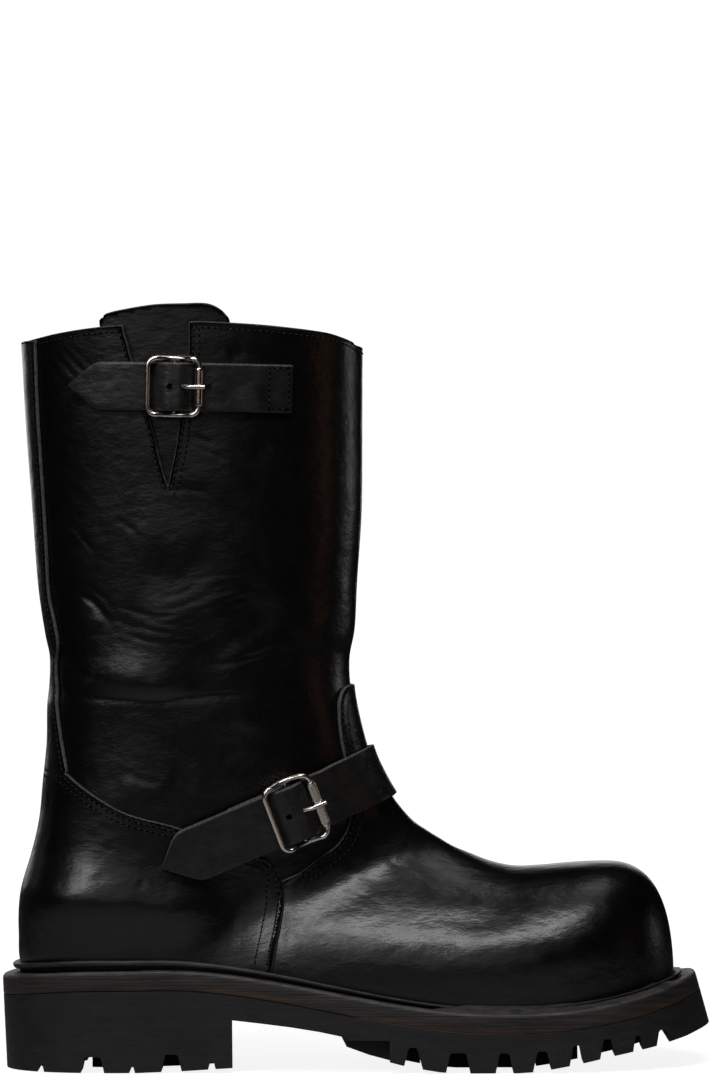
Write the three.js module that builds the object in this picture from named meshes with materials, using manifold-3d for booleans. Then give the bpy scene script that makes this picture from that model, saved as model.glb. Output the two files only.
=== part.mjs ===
// A right engineer boot in black leather on a lugged rubber sole, in millimetres.
// +X points to the toe, -Y is the outer side with the buckles, +Y the inner side, +Z is up.
// The origin is on the floor, in the middle of the boot's bounding box.
// The upper is one wall drawn through fanned sections: level across the shaft, upright at the toe.
// The sole's outline, the welt, the overlays and the straps all follow that same form.
import * as THREE from "three";
import { mergeVertices } from "three/addons/utils/BufferGeometryUtils.js";
import Module from "manifold-3d";

const wasm = await Module();
wasm.setup();

// Driving dimensions of the last: the form that the leather is pulled over.
const lastLength = 298;
const ballWidth = 108;
const shaftWidth = 94;
const ankleHeight = 100;
const shaftHeight = 283.5;
const heelBackX = -153.01;
const lineY = -0.66;

// Heights of the feather line, where the upper meets the sole, above the floor.
const heelStack = 50.5;
const ballStack = 28.9;
const featherSpring = 11;
const heelDip = 3.6;

// Leather and sole thicknesses.
const wall = 3;
const overlay = 1.6;
const gap = 0.3;
const insoleThickness = 3;
const midsoleThickness = 8.8;
const weltWidth = 3.4;
const weltHeelRise = 4.6;
const weltToeRise = 2.4;

// The sole's ledge beyond the leather, at the top and at the bottom of its side.
const sideLedge = 9.9;
const toeLedgeTop = 9.2;
const toeLedgeBottom = 22.6;
const heelLedgeTop = 10.4;
const heelLedgeBottom = 8.4;
const ledgeTopHeight = 50;

// The tread.
const archRise = 23.7;
const breastSkew = 0.045;
const firstLugInset = 10;
const firstLugEnd = 0.565;
const firstLugTop = 14.6;
const tipRise = 17.6;
const lugDepth = 9;
const lugBand = 24;
const channelWidth = 5;

// The straps and their buckles.
const ankleStrapWidth = 25.5;
const topStrapWidth = 22;
const strapThickness = 2;
const strapSeat = 0.6;
const keeperThickness = 1.3;
const ankleStrapLean = THREE.MathUtils.degToRad(22.5);
const topStrapLean = THREE.MathUtils.degToRad(-1.5);
const buckleWire = 1.25;
const buckleBar = 0.9;
const rollerWall = 0.55;
const prongRadius = 1.05;
const ankleBuckle = { length: 26, width: 33 };
const topBuckle = { length: 26.8, width: 28 };

// How finely the form is faceted.
const toeSteps = 6;
const columns = 28;

// Cutting prisms reach well past the boot on every side, and cuts on the outer side stop short of
// its middle.
const beyond = 1.7 * lastLength;
const halfBeyond = 2 * ballWidth;
const outerOnly = -0.1 * ballWidth;

// Shaft sections from above the collar down. Back and front are [share of the last's length
// from the heel's back, height], where height 1 is the ankle and 2 the collar, above the feather
// line. Half is a share of the shaft's width, middle says where the section is widest.
const shaftRows = [
  { back: [0.006, 2.185], front: [0.535, 2.211], half: 0.508, middle: 0.5 },
  { back: [0.012, 2.0], front: [0.5335, 2.051], half: 0.503, middle: 0.5 },
  { back: [0.0185, 1.787], front: [0.532, 1.85], half: 0.497, middle: 0.5 },
  { back: [0.0275, 1.57], front: [0.53, 1.647], half: 0.489, middle: 0.5 },
  { back: [0.035, 1.39], front: [0.522, 1.467], half: 0.479, middle: 0.5 },
  { back: [0.045, 1.27], front: [0.5175, 1.345], half: 0.468, middle: 0.49 },
  { back: [0.0535, 1.196], front: [0.509, 1.266], half: 0.459, middle: 0.48 },
  { back: [0.0475, 1.095], front: [0.511, 1.185], half: 0.455, middle: 0.46 },
  { back: [0.046, 0.995], front: [0.521, 1.101], half: 0.449, middle: 0.43 },
];

// Foot sections from the ankle to the toe cap, swinging upright. Outer and inner are half widths
// as shares of the ball width, and the powers say how square the section's two ends are.
const footRows = [
  { back: [0.0395, 0.815], front: [0.535, 1.026], outer: 0.387, inner: 0.377, middle: 0.4, backPower: 2.3, frontPower: 2.2 },
  { back: [0.0335, 0.645], front: [0.552, 0.948], outer: 0.38, inner: 0.366, middle: 0.36, backPower: 2.4, frontPower: 2.2 },
  { back: [0.0205, 0.475], front: [0.569, 0.872], outer: 0.373, inner: 0.355, middle: 0.32, backPower: 2.4, frontPower: 2.1 },
  { back: [0.0047, 0.295], front: [0.5856, 0.815], outer: 0.363, inner: 0.345, middle: 0.28, backPower: 2.4, frontPower: 2.0 },
  { back: [0.001, 0.135], front: [0.602, 0.772], outer: 0.352, inner: 0.335, middle: 0.25, backPower: 2.4, frontPower: 2.0 },
  { back: [0.0067, -0.03], front: [0.621, 0.74], outer: 0.347, inner: 0.327, middle: 0.25, backPower: 2.5, frontPower: 1.95 },
  { back: [0.057, -0.17], front: [0.641, 0.71], outer: 0.35, inner: 0.322, middle: 0.27, backPower: 3.0, frontPower: 1.9 },
  { back: [0.171, -0.19], front: [0.663, 0.677], outer: 0.365, inner: 0.322, middle: 0.3, backPower: 3.2, frontPower: 1.9 },
  { back: [0.312, -0.18], front: [0.688, 0.651], outer: 0.398, inner: 0.335, middle: 0.33, backPower: 3.4, frontPower: 1.9 },
  { back: [0.47, -0.18], front: [0.7215, 0.615], outer: 0.448, inner: 0.38, middle: 0.36, backPower: 3.6, frontPower: 1.95 },
  { back: [0.614, -0.18], front: [0.758, 0.591], outer: 0.49, inner: 0.438, middle: 0.38, backPower: 3.8, frontPower: 2.0 },
  { back: [0.7215, -0.18], front: [0.795, 0.589], outer: 0.504, inner: 0.477, middle: 0.39, backPower: 4.0, frontPower: 2.1 },
  { back: [0.802, -0.17], front: [0.832, 0.59], outer: 0.49, inner: 0.488, middle: 0.4, backPower: 4.0, frontPower: 2.2 },
  { back: [0.856, -0.16], front: [0.866, 0.585], outer: 0.463, inner: 0.48, middle: 0.42, backPower: 4.0, frontPower: 2.3 },
  { back: [0.896, -0.15], front: [0.896, 0.573], outer: 0.425, inner: 0.462, middle: 0.43, backPower: 4.0, frontPower: 2.4 },
];

// The toe cap closes the last section over a superellipse in side view and another in plan.
const toeCap = { profilePower: 2.8, planPower: 2.3, planStart: 0.72, seat: 0.025, tipShift: 0.03 };

// The feather line's heel, waist and toe, as shares of the last's length.
const heelDipEnd = 0.12;
const waistStart = 0.211;
const waistEnd = 0.728;
const springStart = 0.762;

// Side-view outlines. Each point is [share of the last's length, height] as in the section tables.
const collarLine = [
  [-0.1, 1.995], [0.006, 2.002], [0.074, 2.011], [0.148, 2.021], [0.27, 2.034], [0.36, 2.047],
  [0.42, 2.057], [0.475, 2.065], [0.5, 2.063], [0.518, 2.058], [0.534, 2.051], [0.64, 2.05],
];
const counterEdge = [
  [0.04, 0.887], [0.054, 0.873], [0.0755, 0.845], [0.0966, 0.79], [0.127, 0.726], [0.157, 0.675],
  [0.1876, 0.642], [0.2456, 0.598], [0.319, 0.529], [0.368, 0.507], [0.383, 0.492], [0.395, 0.454],
  [0.4024, 0.39], [0.4037, 0.313], [0.3987, 0.197], [0.392, 0.103], [0.386, 0.0],
];
const vampEdge = [
  [0.431, 0.465], [0.4617, 0.552], [0.485, 0.615], [0.5, 0.684], [0.508, 0.766], [0.511, 0.85],
  [0.504, 0.981], [0.498, 1.026], [0.4926, 1.073], [0.49, 1.134], [0.4916, 1.163], [0.4977, 1.186],
  [0.507, 1.197],
];
const backstayEdge = [
  [0.0326, 2.1], [0.036, 1.845], [0.04, 1.72], [0.0443, 1.596], [0.048, 1.471], [0.0507, 1.371],
  [0.0594, 1.296], [0.0654, 1.246], [0.065, 1.209], [0.0617, 1.147], [0.0614, 1.097],
  [0.0658, 1.034], [0.0715, 0.949], [0.077, 0.862],
];
const notchOutline = [
  [0.1664, 2.12], [0.1664, 2.026], [0.174, 1.976], [0.181, 1.931], [0.2094, 1.778], [0.218, 1.717],
  [0.2255, 1.667], [0.233, 1.63], [0.2375, 1.63], [0.2425, 1.667], [0.249, 1.717], [0.255, 1.778],
  [0.2695, 1.944], [0.271, 2.028], [0.271, 2.12],
];
const gussetOutline = [
  [0.213, 1.6], [0.26, 1.6], [0.32, 1.95], [0.331, 2.04], [0.325, 2.063], [0.311, 2.078],
  [0.293, 2.083], [0.262, 2.078], [0.216, 2.073], [0.171, 2.063], [0.1434, 2.054],
  [0.1355, 2.044], [0.1355, 1.99],
];

// The tread's line from heel to toe: share of the last's length, then a share of the arch's rise
// on the heel and waist, or of the tip's rise under the forefoot.
const heelTread = [[-0.08, 0], [0.18, 0], [0.25, 0.03], [0.327, 0.09]];
const archLine = [[0.327, 1], [0.369, 0.94], [0.414, 0.87], [0.459, 0.78], [0.501, 0.67]];
const forefootTread = [
  [0.501, 0.62], [0.534, 0.42], [0.581, 0.21], [0.611, 0.11], [0.64, 0.03], [0.667, 0], [0.76, 0],
  [0.787, 0.03], [0.806, 0.08], [0.852, 0.22], [0.893, 0.37], [0.966, 0.6], [1.017, 0.8],
  [1.036, 0.9], [1.059, 1.0], [1.1, 1.2],
];

// The gaps between the lugs: where along the last, top and bottom width in millimetres, and depth
// as a share of the lugs' depth.
const lugGaps = [
  { along: 0.033, top: 1.8, bottom: 3.3, depth: 0.33 },
  { along: 0.113, top: 7.8, bottom: 11, depth: 0.8 },
  { along: 0.1735, top: 1.3, bottom: 2.8, depth: 0.33 },
  { along: 0.2335, top: 6, bottom: 9.5, depth: 0.86 },
  { along: 0.295, top: 2, bottom: 3.7, depth: 0.38 },
  { along: 0.6, top: 4, bottom: 8.6, depth: 1 },
  { along: 0.668, top: 7.4, bottom: 11.2, depth: 1.02 },
  { along: 0.738, top: 4.6, bottom: 8.2, depth: 1 },
  { along: 0.795, top: 4.6, bottom: 8.4, depth: 0.98 },
  { along: 0.847, top: 3.3, bottom: 6.4, depth: 0.95 },
  { along: 0.894, top: 3.7, bottom: 6.8, depth: 0.9 },
  { along: 0.9405, top: 2.3, bottom: 4.4, depth: 0.75 },
  { along: 0.98, top: 3.7, bottom: 6, depth: 0.68 },
];

// Small helpers.
const clamp01 = (t) => Math.min(1, Math.max(0, t));
const smoothStep = (t) => clamp01(t) ** 2 * (3 - 2 * clamp01(t));
const mix = (a, b, t) => a + (b - a) * t;
const signedPower = (v, p) => Math.sign(v) * Math.abs(v) ** p;

function spline(values, t) {
  const i = Math.min(values.length - 2, Math.max(0, Math.floor(t)));
  const f = t - i;
  const at = (k) => values[Math.min(values.length - 1, Math.max(0, k))];
  const [a, b, c, d] = [at(i - 1), at(i), at(i + 1), at(i + 2)];
  return b + 0.5 * f * (c - a + f * (2 * a - 5 * b + 4 * c - d + f * (3 * (b - c) + d - a)));
}

// The feather line and the two measures that the tables use.
const alongX = (share) => heelBackX + share * lastLength;
function featherZ(x) {
  const share = (x - heelBackX) / lastLength;
  const waist = smoothStep((share - waistStart) / (waistEnd - waistStart));
  const toe = Math.min(1.2, Math.max(0, (share - springStart) / (1 - springStart)));
  const dip = clamp01((heelDipEnd - share) / 0.15) ** 1.8;
  return mix(heelStack, ballStack, waist) + featherSpring * toe ** 2 - heelDip * dip;
}
function heightOf(share) {
  return share < 1 ? share * ankleHeight : mix(ankleHeight, shaftHeight, share - 1);
}
function sidePoint([share, height]) {
  const x = alongX(share);
  return [x, featherZ(x) + heightOf(height)];
}

// The form: one section for each row, one more for each step of the toe cap.
const rows = [
  ...shaftRows.map((r) => ({ ...r, outer: r.half * shaftWidth, inner: r.half * shaftWidth, backPower: 2.3, frontPower: 2.2 })),
  ...footRows.map((r) => ({ ...r, outer: r.outer * ballWidth, inner: r.inner * ballWidth })),
].map((r) => {
  const [backX, backZ] = sidePoint(r.back);
  const [frontX, frontZ] = sidePoint(r.front);
  return { ...r, backX, backZ, frontX, frontZ, shift: 0 };
});

function rowAt(t) {
  const section = {};
  for (const key of ["backX", "backZ", "frontX", "frontZ", "outer", "inner", "middle", "backPower", "frontPower", "shift"])
    section[key] = spline(rows.map((r) => r[key]), t);
  return section;
}

function toeSection(turn) {
  const last = rows[rows.length - 1];
  const capStart = last.frontX;
  const capLength = heelBackX + lastLength - capStart;
  const seatZ = featherZ(capStart) - toeCap.seat * ankleHeight;
  const reach = Math.sin(turn) ** (2 / toeCap.profilePower);
  const rise = Math.cos(turn) ** (2 / toeCap.profilePower);
  const x = capStart + capLength * reach;
  const planFrom = alongX(toeCap.planStart);
  const inPlan = (at) => (1 - ((at - planFrom) / (capStart + capLength - planFrom)) ** toeCap.planPower) ** (1 / toeCap.planPower);
  const narrow = turn > Math.PI / 2 - 1e-6 ? 0 : inPlan(x) / inPlan(capStart);
  return {
    ...last,
    backX: x,
    frontX: x,
    backZ: mix(seatZ, last.backZ, rise),
    frontZ: mix(seatZ, last.frontZ, rise),
    outer: last.outer * narrow,
    inner: last.inner * narrow,
    shift: toeCap.tipShift * ballWidth * (1 - narrow),
  };
}

const sections = [];
for (let i = 0; i < rows.length; i++) sections.push(rowAt(i));
for (let i = 1; i < toeSteps; i++) sections.push(toeSection(((i / toeSteps) ** 0.9 * Math.PI) / 2));
const toeTip = toeSection(Math.PI / 2);

// A point of a section: turn 0 is its front or top, then round by the outer side.
function sectionPoint(section, turn) {
  const c = Math.cos(turn);
  const power = c > 0 ? section.frontPower : section.backPower;
  const along = signedPower(c, 2 / power);
  const side = signedPower(Math.sin(turn), 2 / power);
  const share = section.middle + along * (c > 0 ? 1 - section.middle : section.middle);
  const half = side > 0 ? section.outer : section.inner;
  return new THREE.Vector3(
    mix(section.backX, section.frontX, share),
    lineY + section.shift - half * side,
    mix(section.backZ, section.frontZ, share),
  );
}

// Every form solid shares this grid, moved along its normals by an offset.
const formGrid = (() => {
  const points = [];
  for (const section of sections)
    for (let j = 0; j < columns; j++) points.push(sectionPoint(section, (j / columns) * 2 * Math.PI));
  const top = sections[0];
  points.push(new THREE.Vector3((top.backX + top.frontX) / 2, lineY, (top.backZ + top.frontZ) / 2));
  points.push(new THREE.Vector3(toeTip.frontX, lineY + toeTip.shift, toeTip.frontZ));
  const faces = [];
  const at = (i, j) => i * columns + (j % columns);
  for (let i = 0; i < sections.length - 1; i++)
    for (let j = 0; j < columns; j++)
      faces.push([at(i, j), at(i, j + 1), at(i + 1, j)], [at(i, j + 1), at(i + 1, j + 1), at(i + 1, j)]);
  const last = sections.length - 1;
  for (let j = 0; j < columns; j++) {
    faces.push([points.length - 2, at(0, j + 1), at(0, j)]);
    faces.push([points.length - 1, at(last, j), at(last, j + 1)]);
  }
  return { points, faces };
})();

function meshGeometry(points, faces) {
  const geometry = new THREE.BufferGeometry();
  geometry.setAttribute("position", new THREE.Float32BufferAttribute(points.flatMap((p) => [p.x, p.y, p.z]), 3));
  geometry.setIndex(faces.flat());
  return geometry;
}

const formNormals = (() => {
  const geometry = meshGeometry(formGrid.points, formGrid.faces);
  geometry.computeVertexNormals();
  const normal = geometry.getAttribute("normal");
  return formGrid.points.map((_, i) => new THREE.Vector3().fromBufferAttribute(normal, i));
})();

// Solids between three.js and the boolean library.
function toSolid(geometry) {
  const bare = geometry.clone();
  for (const name of Object.keys(bare.attributes)) if (name !== "position") bare.deleteAttribute(name);
  const merged = mergeVertices(bare, 1e-4);
  const made = new wasm.Manifold(
    new wasm.Mesh({
      numProp: 3,
      vertProperties: new Float32Array(merged.getAttribute("position").array),
      triVerts: new Uint32Array(merged.index.array),
    }),
  );
  if (made.volume() > 0) return made;
  const turned = Uint32Array.from(merged.index.array);
  for (let i = 0; i < turned.length; i += 3) [turned[i], turned[i + 1]] = [turned[i + 1], turned[i]];
  return new wasm.Manifold(
    new wasm.Mesh({ numProp: 3, vertProperties: new Float32Array(merged.getAttribute("position").array), triVerts: turned }),
  );
}

function toGeometry(solid) {
  const mesh = solid.getMesh();
  const geometry = new THREE.BufferGeometry();
  geometry.setAttribute("position", new THREE.BufferAttribute(Float32Array.from(mesh.vertProperties), 3));
  geometry.setIndex(new THREE.BufferAttribute(Uint32Array.from(mesh.triVerts), 1));
  const flat = geometry.toNonIndexed();
  flat.computeVertexNormals();
  return flat;
}

// Cuts that graze a face can leave crumbs: only the main body is the piece.
const mainBody = (solid) => solid.decompose().sort((a, b) => b.volume() - a.volume())[0];

const solidsByOffset = new Map();
function formGeometry(offset) {
  const points = formGrid.points.map((p, i) => p.clone().addScaledVector(formNormals[i], offset));
  return meshGeometry(points, formGrid.faces);
}
function formSolid(offset) {
  if (!solidsByOffset.has(offset)) solidsByOffset.set(offset, toSolid(formGeometry(offset)));
  return solidsByOffset.get(offset);
}

// A prism across the boot from a side-view outline in millimetres. Skew moves it back as it
// goes inwards from the outer edge.
function sidePrism(outline, fromY = -halfBeyond, toY = halfBeyond, skew = 0) {
  const shape = new THREE.Shape(outline.map(([x, z]) => new THREE.Vector2(x, z)));
  const geometry = new THREE.ExtrudeGeometry(shape, { depth: toY - fromY, bevelEnabled: false });
  const axes = new THREE.Matrix4().set(1, 0, skew, -skew * (toY + ballWidth / 2), 0, 0, -1, toY, 0, 1, 0, 0, 0, 0, 0, 1);
  return toSolid(geometry.applyMatrix4(axes));
}

// A slab across the boot between two heights, each a function of x.
const slabSteps = 24;
const slabXs = Array.from({ length: slabSteps + 1 }, (_, i) => alongX(mix(-0.12, 1.12, i / slabSteps)));
const slab = (lowZ, highZ) =>
  sidePrism([...slabXs.map((x) => [x, lowZ(x)]), ...slabXs.map((x) => [x, highZ(x)]).reverse()]);

// The sole's plan outline: where each section of the form crosses the feather line.
function featherCrossing(section, direction) {
  const steps = 60;
  let before = sectionPoint(section, Math.PI * direction);
  for (let k = 1; k <= steps; k++) {
    const after = sectionPoint(section, (Math.PI - (k / steps) * Math.PI) * direction);
    if (after.z > featherZ(after.x)) {
      const low = featherZ(before.x) - before.z;
      const share = low / (low + after.z - featherZ(after.x));
      return before.clone().lerp(after, share);
    }
    before = after;
  }
  return null;
}
const footprint = (() => {
  const below = sections.filter((s) => s.backZ < featherZ(s.backX) - 1);
  const outerSide = below.map((s) => featherCrossing(s, 1)).filter(Boolean);
  const innerSide = below.map((s) => featherCrossing(s, -1)).filter(Boolean);
  const heel = new THREE.Vector3(Math.min(...sections.map((s) => s.backX)), lineY, heelStack);
  const toe = new THREE.Vector3(toeTip.frontX, lineY + toeTip.shift, 0);
  const loop = [heel, ...outerSide, toe, ...innerSide.reverse()];
  const curve = new THREE.CatmullRomCurve3(loop.map((p) => new THREE.Vector3(p.x, p.y, 0)), true, "centripetal");
  return curve.getSpacedPoints(72).slice(0, -1);
})();

function outlineOffset(ledgeAt) {
  const count = footprint.length;
  return footprint.map((p, i) => {
    const tangent = footprint[(i + 1) % count].clone().sub(footprint[(i + count - 1) % count]).normalize();
    const outward = new THREE.Vector3(tangent.y, -tangent.x, 0);
    if (outward.dot(p.clone().sub(new THREE.Vector3(alongX(0.5), 0, 0))) < 0) outward.negate();
    return p.clone().addScaledVector(outward, ledgeAt(p.x));
  });
}

// A closed solid between a low and a high outline with the same number of points.
function outlineLoft(low, high, lowZ, highZ) {
  const count = low.length;
  const flat = low.map((p) => new THREE.Vector2(p.x, p.y));
  const caps = THREE.ShapeUtils.triangulateShape(flat, []);
  const points = [...low.map((p) => new THREE.Vector3(p.x, p.y, lowZ)), ...high.map((p) => new THREE.Vector3(p.x, p.y, highZ))];
  const faces = [];
  for (let i = 0; i < count; i++) {
    const j = (i + 1) % count;
    faces.push([i, j, count + i], [j, count + j, count + i]);
  }
  const forward = THREE.ShapeUtils.area(flat) > 0;
  for (const [a, b, c] of caps) {
    faces.push(forward ? [a, c, b] : [a, b, c]);
    faces.push(forward ? [count + a, count + b, count + c] : [count + a, count + c, count + b]);
  }
  if (!forward) for (let k = 0; k < 2 * count; k++) faces[k] = [faces[k][0], faces[k][2], faces[k][1]];
  return toSolid(meshGeometry(points, faces));
}

// The sole.
const toeShare = (x) => smoothStep(((x - heelBackX) / lastLength - 0.72) / 0.28);
const heelShare = (x) => smoothStep((0.18 - (x - heelBackX) / lastLength) / 0.16);
const ledge = (x, toe, heel) => sideLedge + toeShare(x) * (toe - sideLedge) + heelShare(x) * (heel - sideLedge);
const soleSide = (inset) =>
  outlineLoft(
    outlineOffset((x) => ledge(x, toeLedgeBottom, heelLedgeBottom) - inset),
    outlineOffset((x) => ledge(x, toeLedgeTop, heelLedgeTop) - inset),
    0,
    ledgeTopHeight,
  );
const weltRise = (x) => mix(weltHeelRise, weltToeRise, smoothStep((x - alongX(0.1)) / (0.6 * lastLength)));
const midsoleTop = (x) => featherZ(x) - weltRise(x);
const midsoleBottom = (x) => midsoleTop(x) - midsoleThickness;
const outsoleTop = (x) => midsoleBottom(x) - gap;

const heelPoints = heelTread.map(([s, rise]) => [alongX(s), rise * archRise]);
const archPoints = archLine.map(([s, rise]) => [alongX(s), rise * archRise]);
const treadPoints = [...heelPoints, ...forefootTread.map(([s, rise]) => [alongX(s), rise * tipRise])];
function treadZ(x) {
  const i = treadPoints.findIndex(([px], k) => k > 0 && px >= x);
  if (i < 0) return treadPoints[treadPoints.length - 1][1];
  const [ax, az] = treadPoints[i - 1];
  const [bx, bz] = treadPoints[i];
  return bx === ax ? bz : mix(az, bz, (x - ax) / (bx - ax));
}

const heelBreastX = archPoints[0][0];
const forefootStartX = alongX(forefootTread[0][0]);

function lugGapSolid({ along, top, bottom, depth }) {
  const x = alongX(along);
  const low = treadZ(x);
  const high = low + depth * lugDepth;
  const deep = 12;
  const spread = ((bottom - top) / 2 / (high - low)) * deep;
  return sidePrism([
    [x - bottom / 2 - spread, low - deep],
    [x + bottom / 2 + spread, low - deep],
    [x + top / 2, high],
    [x - top / 2, high],
  ]);
}

function treadChannels() {
  const band = soleSide(lugBand).subtract(soleSide(lugBand + channelWidth));
  const islandBars = [0.1, 0.2, 0.62, 0.7, 0.78, 0.86].map((share) => {
    const x = alongX(share);
    const half = channelWidth / 2;
    return sidePrism([[x - half, -20], [x + half, -20], [x + half, 40], [x - half, 40]]).intersect(soleSide(lugBand + 1));
  });
  const depthZone = sidePrism([
    ...treadPoints.filter(([x]) => x <= heelBreastX).map(([x, z]) => [x, z - 20]),
    [heelBreastX - 9, treadZ(heelBreastX - 9) - 20],
    [heelBreastX - 9, treadZ(heelBreastX - 9) + 0.75 * lugDepth],
    [alongX(-0.08), 0.75 * lugDepth],
  ]).add(
    sidePrism([
      [forefootStartX + 14, -20],
      [alongX(1.1), -20],
      [alongX(1.1), treadZ(alongX(1.1)) + 0.5 * lugDepth],
      [alongX(0.893), treadZ(alongX(0.893)) + 0.75 * lugDepth],
      [alongX(0.787), treadZ(alongX(0.787)) + 0.75 * lugDepth],
      [alongX(0.64), treadZ(alongX(0.64)) + 0.75 * lugDepth],
      [forefootStartX + 14, treadZ(forefootStartX + 14) + 0.75 * lugDepth],
    ]),
  );
  return islandBars.reduce((sum, bar) => sum.add(bar), band).intersect(depthZone);
}

// The arch runs across under the waist, and the first lugs of the forefoot stand in from the side.
function archTunnel() {
  const last = archPoints[archPoints.length - 1];
  return sidePrism([[archPoints[0][0], -30], ...archPoints, [last[0], -30]], -200, 200, breastSkew);
}
function firstLugRecess() {
  const [from, to] = [forefootStartX - 8, alongX(firstLugEnd)];
  const block = sidePrism([[from, -30], [to, -30], [to, firstLugTop], [from, firstLugTop]]);
  return block.subtract(soleSide(firstLugInset));
}

function outsoleSolid() {
  const body = soleSide(0)
    .intersect(slab(() => -50, outsoleTop))
    .intersect(sidePrism([...treadPoints, [alongX(1.1), 200], [alongX(-0.08), 200]]));
  const gaps = lugGaps.map(lugGapSolid).reduce((sum, one) => sum.add(one)).subtract(soleSide(lugBand + 1));
  return body.subtract(archTunnel()).subtract(firstLugRecess()).subtract(gaps).subtract(treadChannels());
}
const midsoleSolid = () => soleSide(0).intersect(slab(midsoleBottom, midsoleTop));
const weltInner = gap + overlay + gap;
const weltSolid = () =>
  formSolid(weltInner + weltWidth)
    .subtract(formSolid(weltInner))
    .intersect(slab((x) => midsoleTop(x) + gap, featherZ));
const insoleSolid = () =>
  formSolid(-wall - gap - 0.1).intersect(slab((x) => midsoleTop(x) + gap, (x) => featherZ(x) + insoleThickness));

// The upper, its gusset and its overlays.
const aboveFeather = slab((x) => midsoleTop(x) + gap, () => beyond);
const underCollar = sidePrism([...collarLine.map(sidePoint), [beyond, -beyond], [-beyond, -beyond]]);
const notch = sidePrism(notchOutline.map(sidePoint), -halfBeyond, outerOnly);
const upperSolid = () =>
  formSolid(0).subtract(formSolid(-wall)).intersect(aboveFeather).intersect(underCollar).subtract(notch);
const gussetSolid = () =>
  formSolid(-wall - gap)
    .subtract(formSolid(-wall - gap - overlay))
    .intersect(sidePrism(gussetOutline.map(sidePoint), -halfBeyond, outerOnly));

const overlayShell = () => formSolid(gap + overlay).subtract(formSolid(gap)).intersect(aboveFeather);
const counterTop = sidePoint(counterEdge[0])[1];
const counterFootX = alongX(0.38);
const counterOutline = [
  [-beyond, counterTop],
  ...counterEdge.map(sidePoint),
  [counterFootX, -beyond],
  [-beyond, -beyond],
];
const counterSolid = () => overlayShell().intersect(sidePrism(counterOutline));
const counterCorner = 12;
const vampTop = sidePoint(vampEdge[vampEdge.length - 1])[1];
const vampOutline = [
  ...counterEdge.slice(counterCorner).reverse().map(sidePoint).map(([x, z]) => [x + gap, z]),
  ...vampEdge.map(sidePoint),
  [beyond, vampTop],
  [beyond, -beyond],
  [counterFootX + gap, -beyond],
];
const vampSolid = () => overlayShell().intersect(sidePrism(vampOutline));
const backstayOutline = [
  ...backstayEdge.map(sidePoint),
  ...counterEdge.slice(0, 3).reverse().map(sidePoint).map(([x, z]) => [x, z + 1.5 * gap]),
  [-beyond, counterTop + 1.5 * gap],
  [-beyond, beyond],
];
const backstaySolid = () => overlayShell().intersect(sidePrism(backstayOutline)).intersect(underCollar);

// Straps are bands round the boot in a leaning plane, found by rays from inside the leg.
const strapBase = new THREE.Mesh(formGeometry(gap + overlay + gap), new THREE.MeshBasicMaterial({ side: THREE.DoubleSide }));
const shaftBase = new THREE.Mesh(formGeometry(gap), new THREE.MeshBasicMaterial({ side: THREE.DoubleSide }));
strapBase.updateMatrixWorld(true);
shaftBase.updateMatrixWorld(true);

function strapPlane(base, centre, lean) {
  const forward = new THREE.Vector3(Math.cos(lean), 0, Math.sin(lean));
  const across = new THREE.Vector3(-Math.sin(lean), 0, Math.cos(lean));
  const [x, z] = sidePoint(centre);
  const origin = new THREE.Vector3(x, lineY, z);
  const caster = new THREE.Raycaster();
  const hit = (turn, v) => {
    const direction = forward.clone().multiplyScalar(Math.cos(turn)).add(new THREE.Vector3(0, -Math.sin(turn), 0));
    caster.set(origin.clone().addScaledVector(across, v), direction);
    return caster.intersectObject(base)[0].point;
  };
  return { forward, across, origin, hit };
}

// Evenly spaced turns round the band between two side-view positions along the strap.
function bandTurns(plane, fromTurn, toTurn, spacing) {
  const fine = Array.from({ length: 241 }, (_, i) => mix(fromTurn, toTurn, i / 240));
  const points = fine.map((turn) => plane.hit(turn, 0));
  const length = [0];
  for (let i = 1; i < points.length; i++) length.push(length[i - 1] + points[i].distanceTo(points[i - 1]));
  const total = length[length.length - 1];
  const count = Math.max(2, Math.round(total / spacing));
  const turns = [];
  for (let k = 0; k <= count; k++) {
    const want = (k / count) * total;
    const i = Math.min(length.length - 1, Math.max(1, length.findIndex((l) => l >= want - 1e-9)));
    turns.push(mix(fine[i - 1], fine[i], (want - length[i - 1]) / (length[i] - length[i - 1] || 1)));
  }
  return { turns, total };
}

// The turn at which the band passes a side-view distance along the strap, on the outer side.
function turnAt(plane, distance, side) {
  let [low, high] = [0.02, Math.PI - 0.02];
  for (let k = 0; k < 40; k++) {
    const middle = (low + high) / 2;
    const along = plane.hit(side * middle, 0).sub(plane.origin).dot(plane.forward);
    if (along > distance) low = middle;
    else high = middle;
  }
  return (side * (low + high)) / 2;
}

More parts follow.
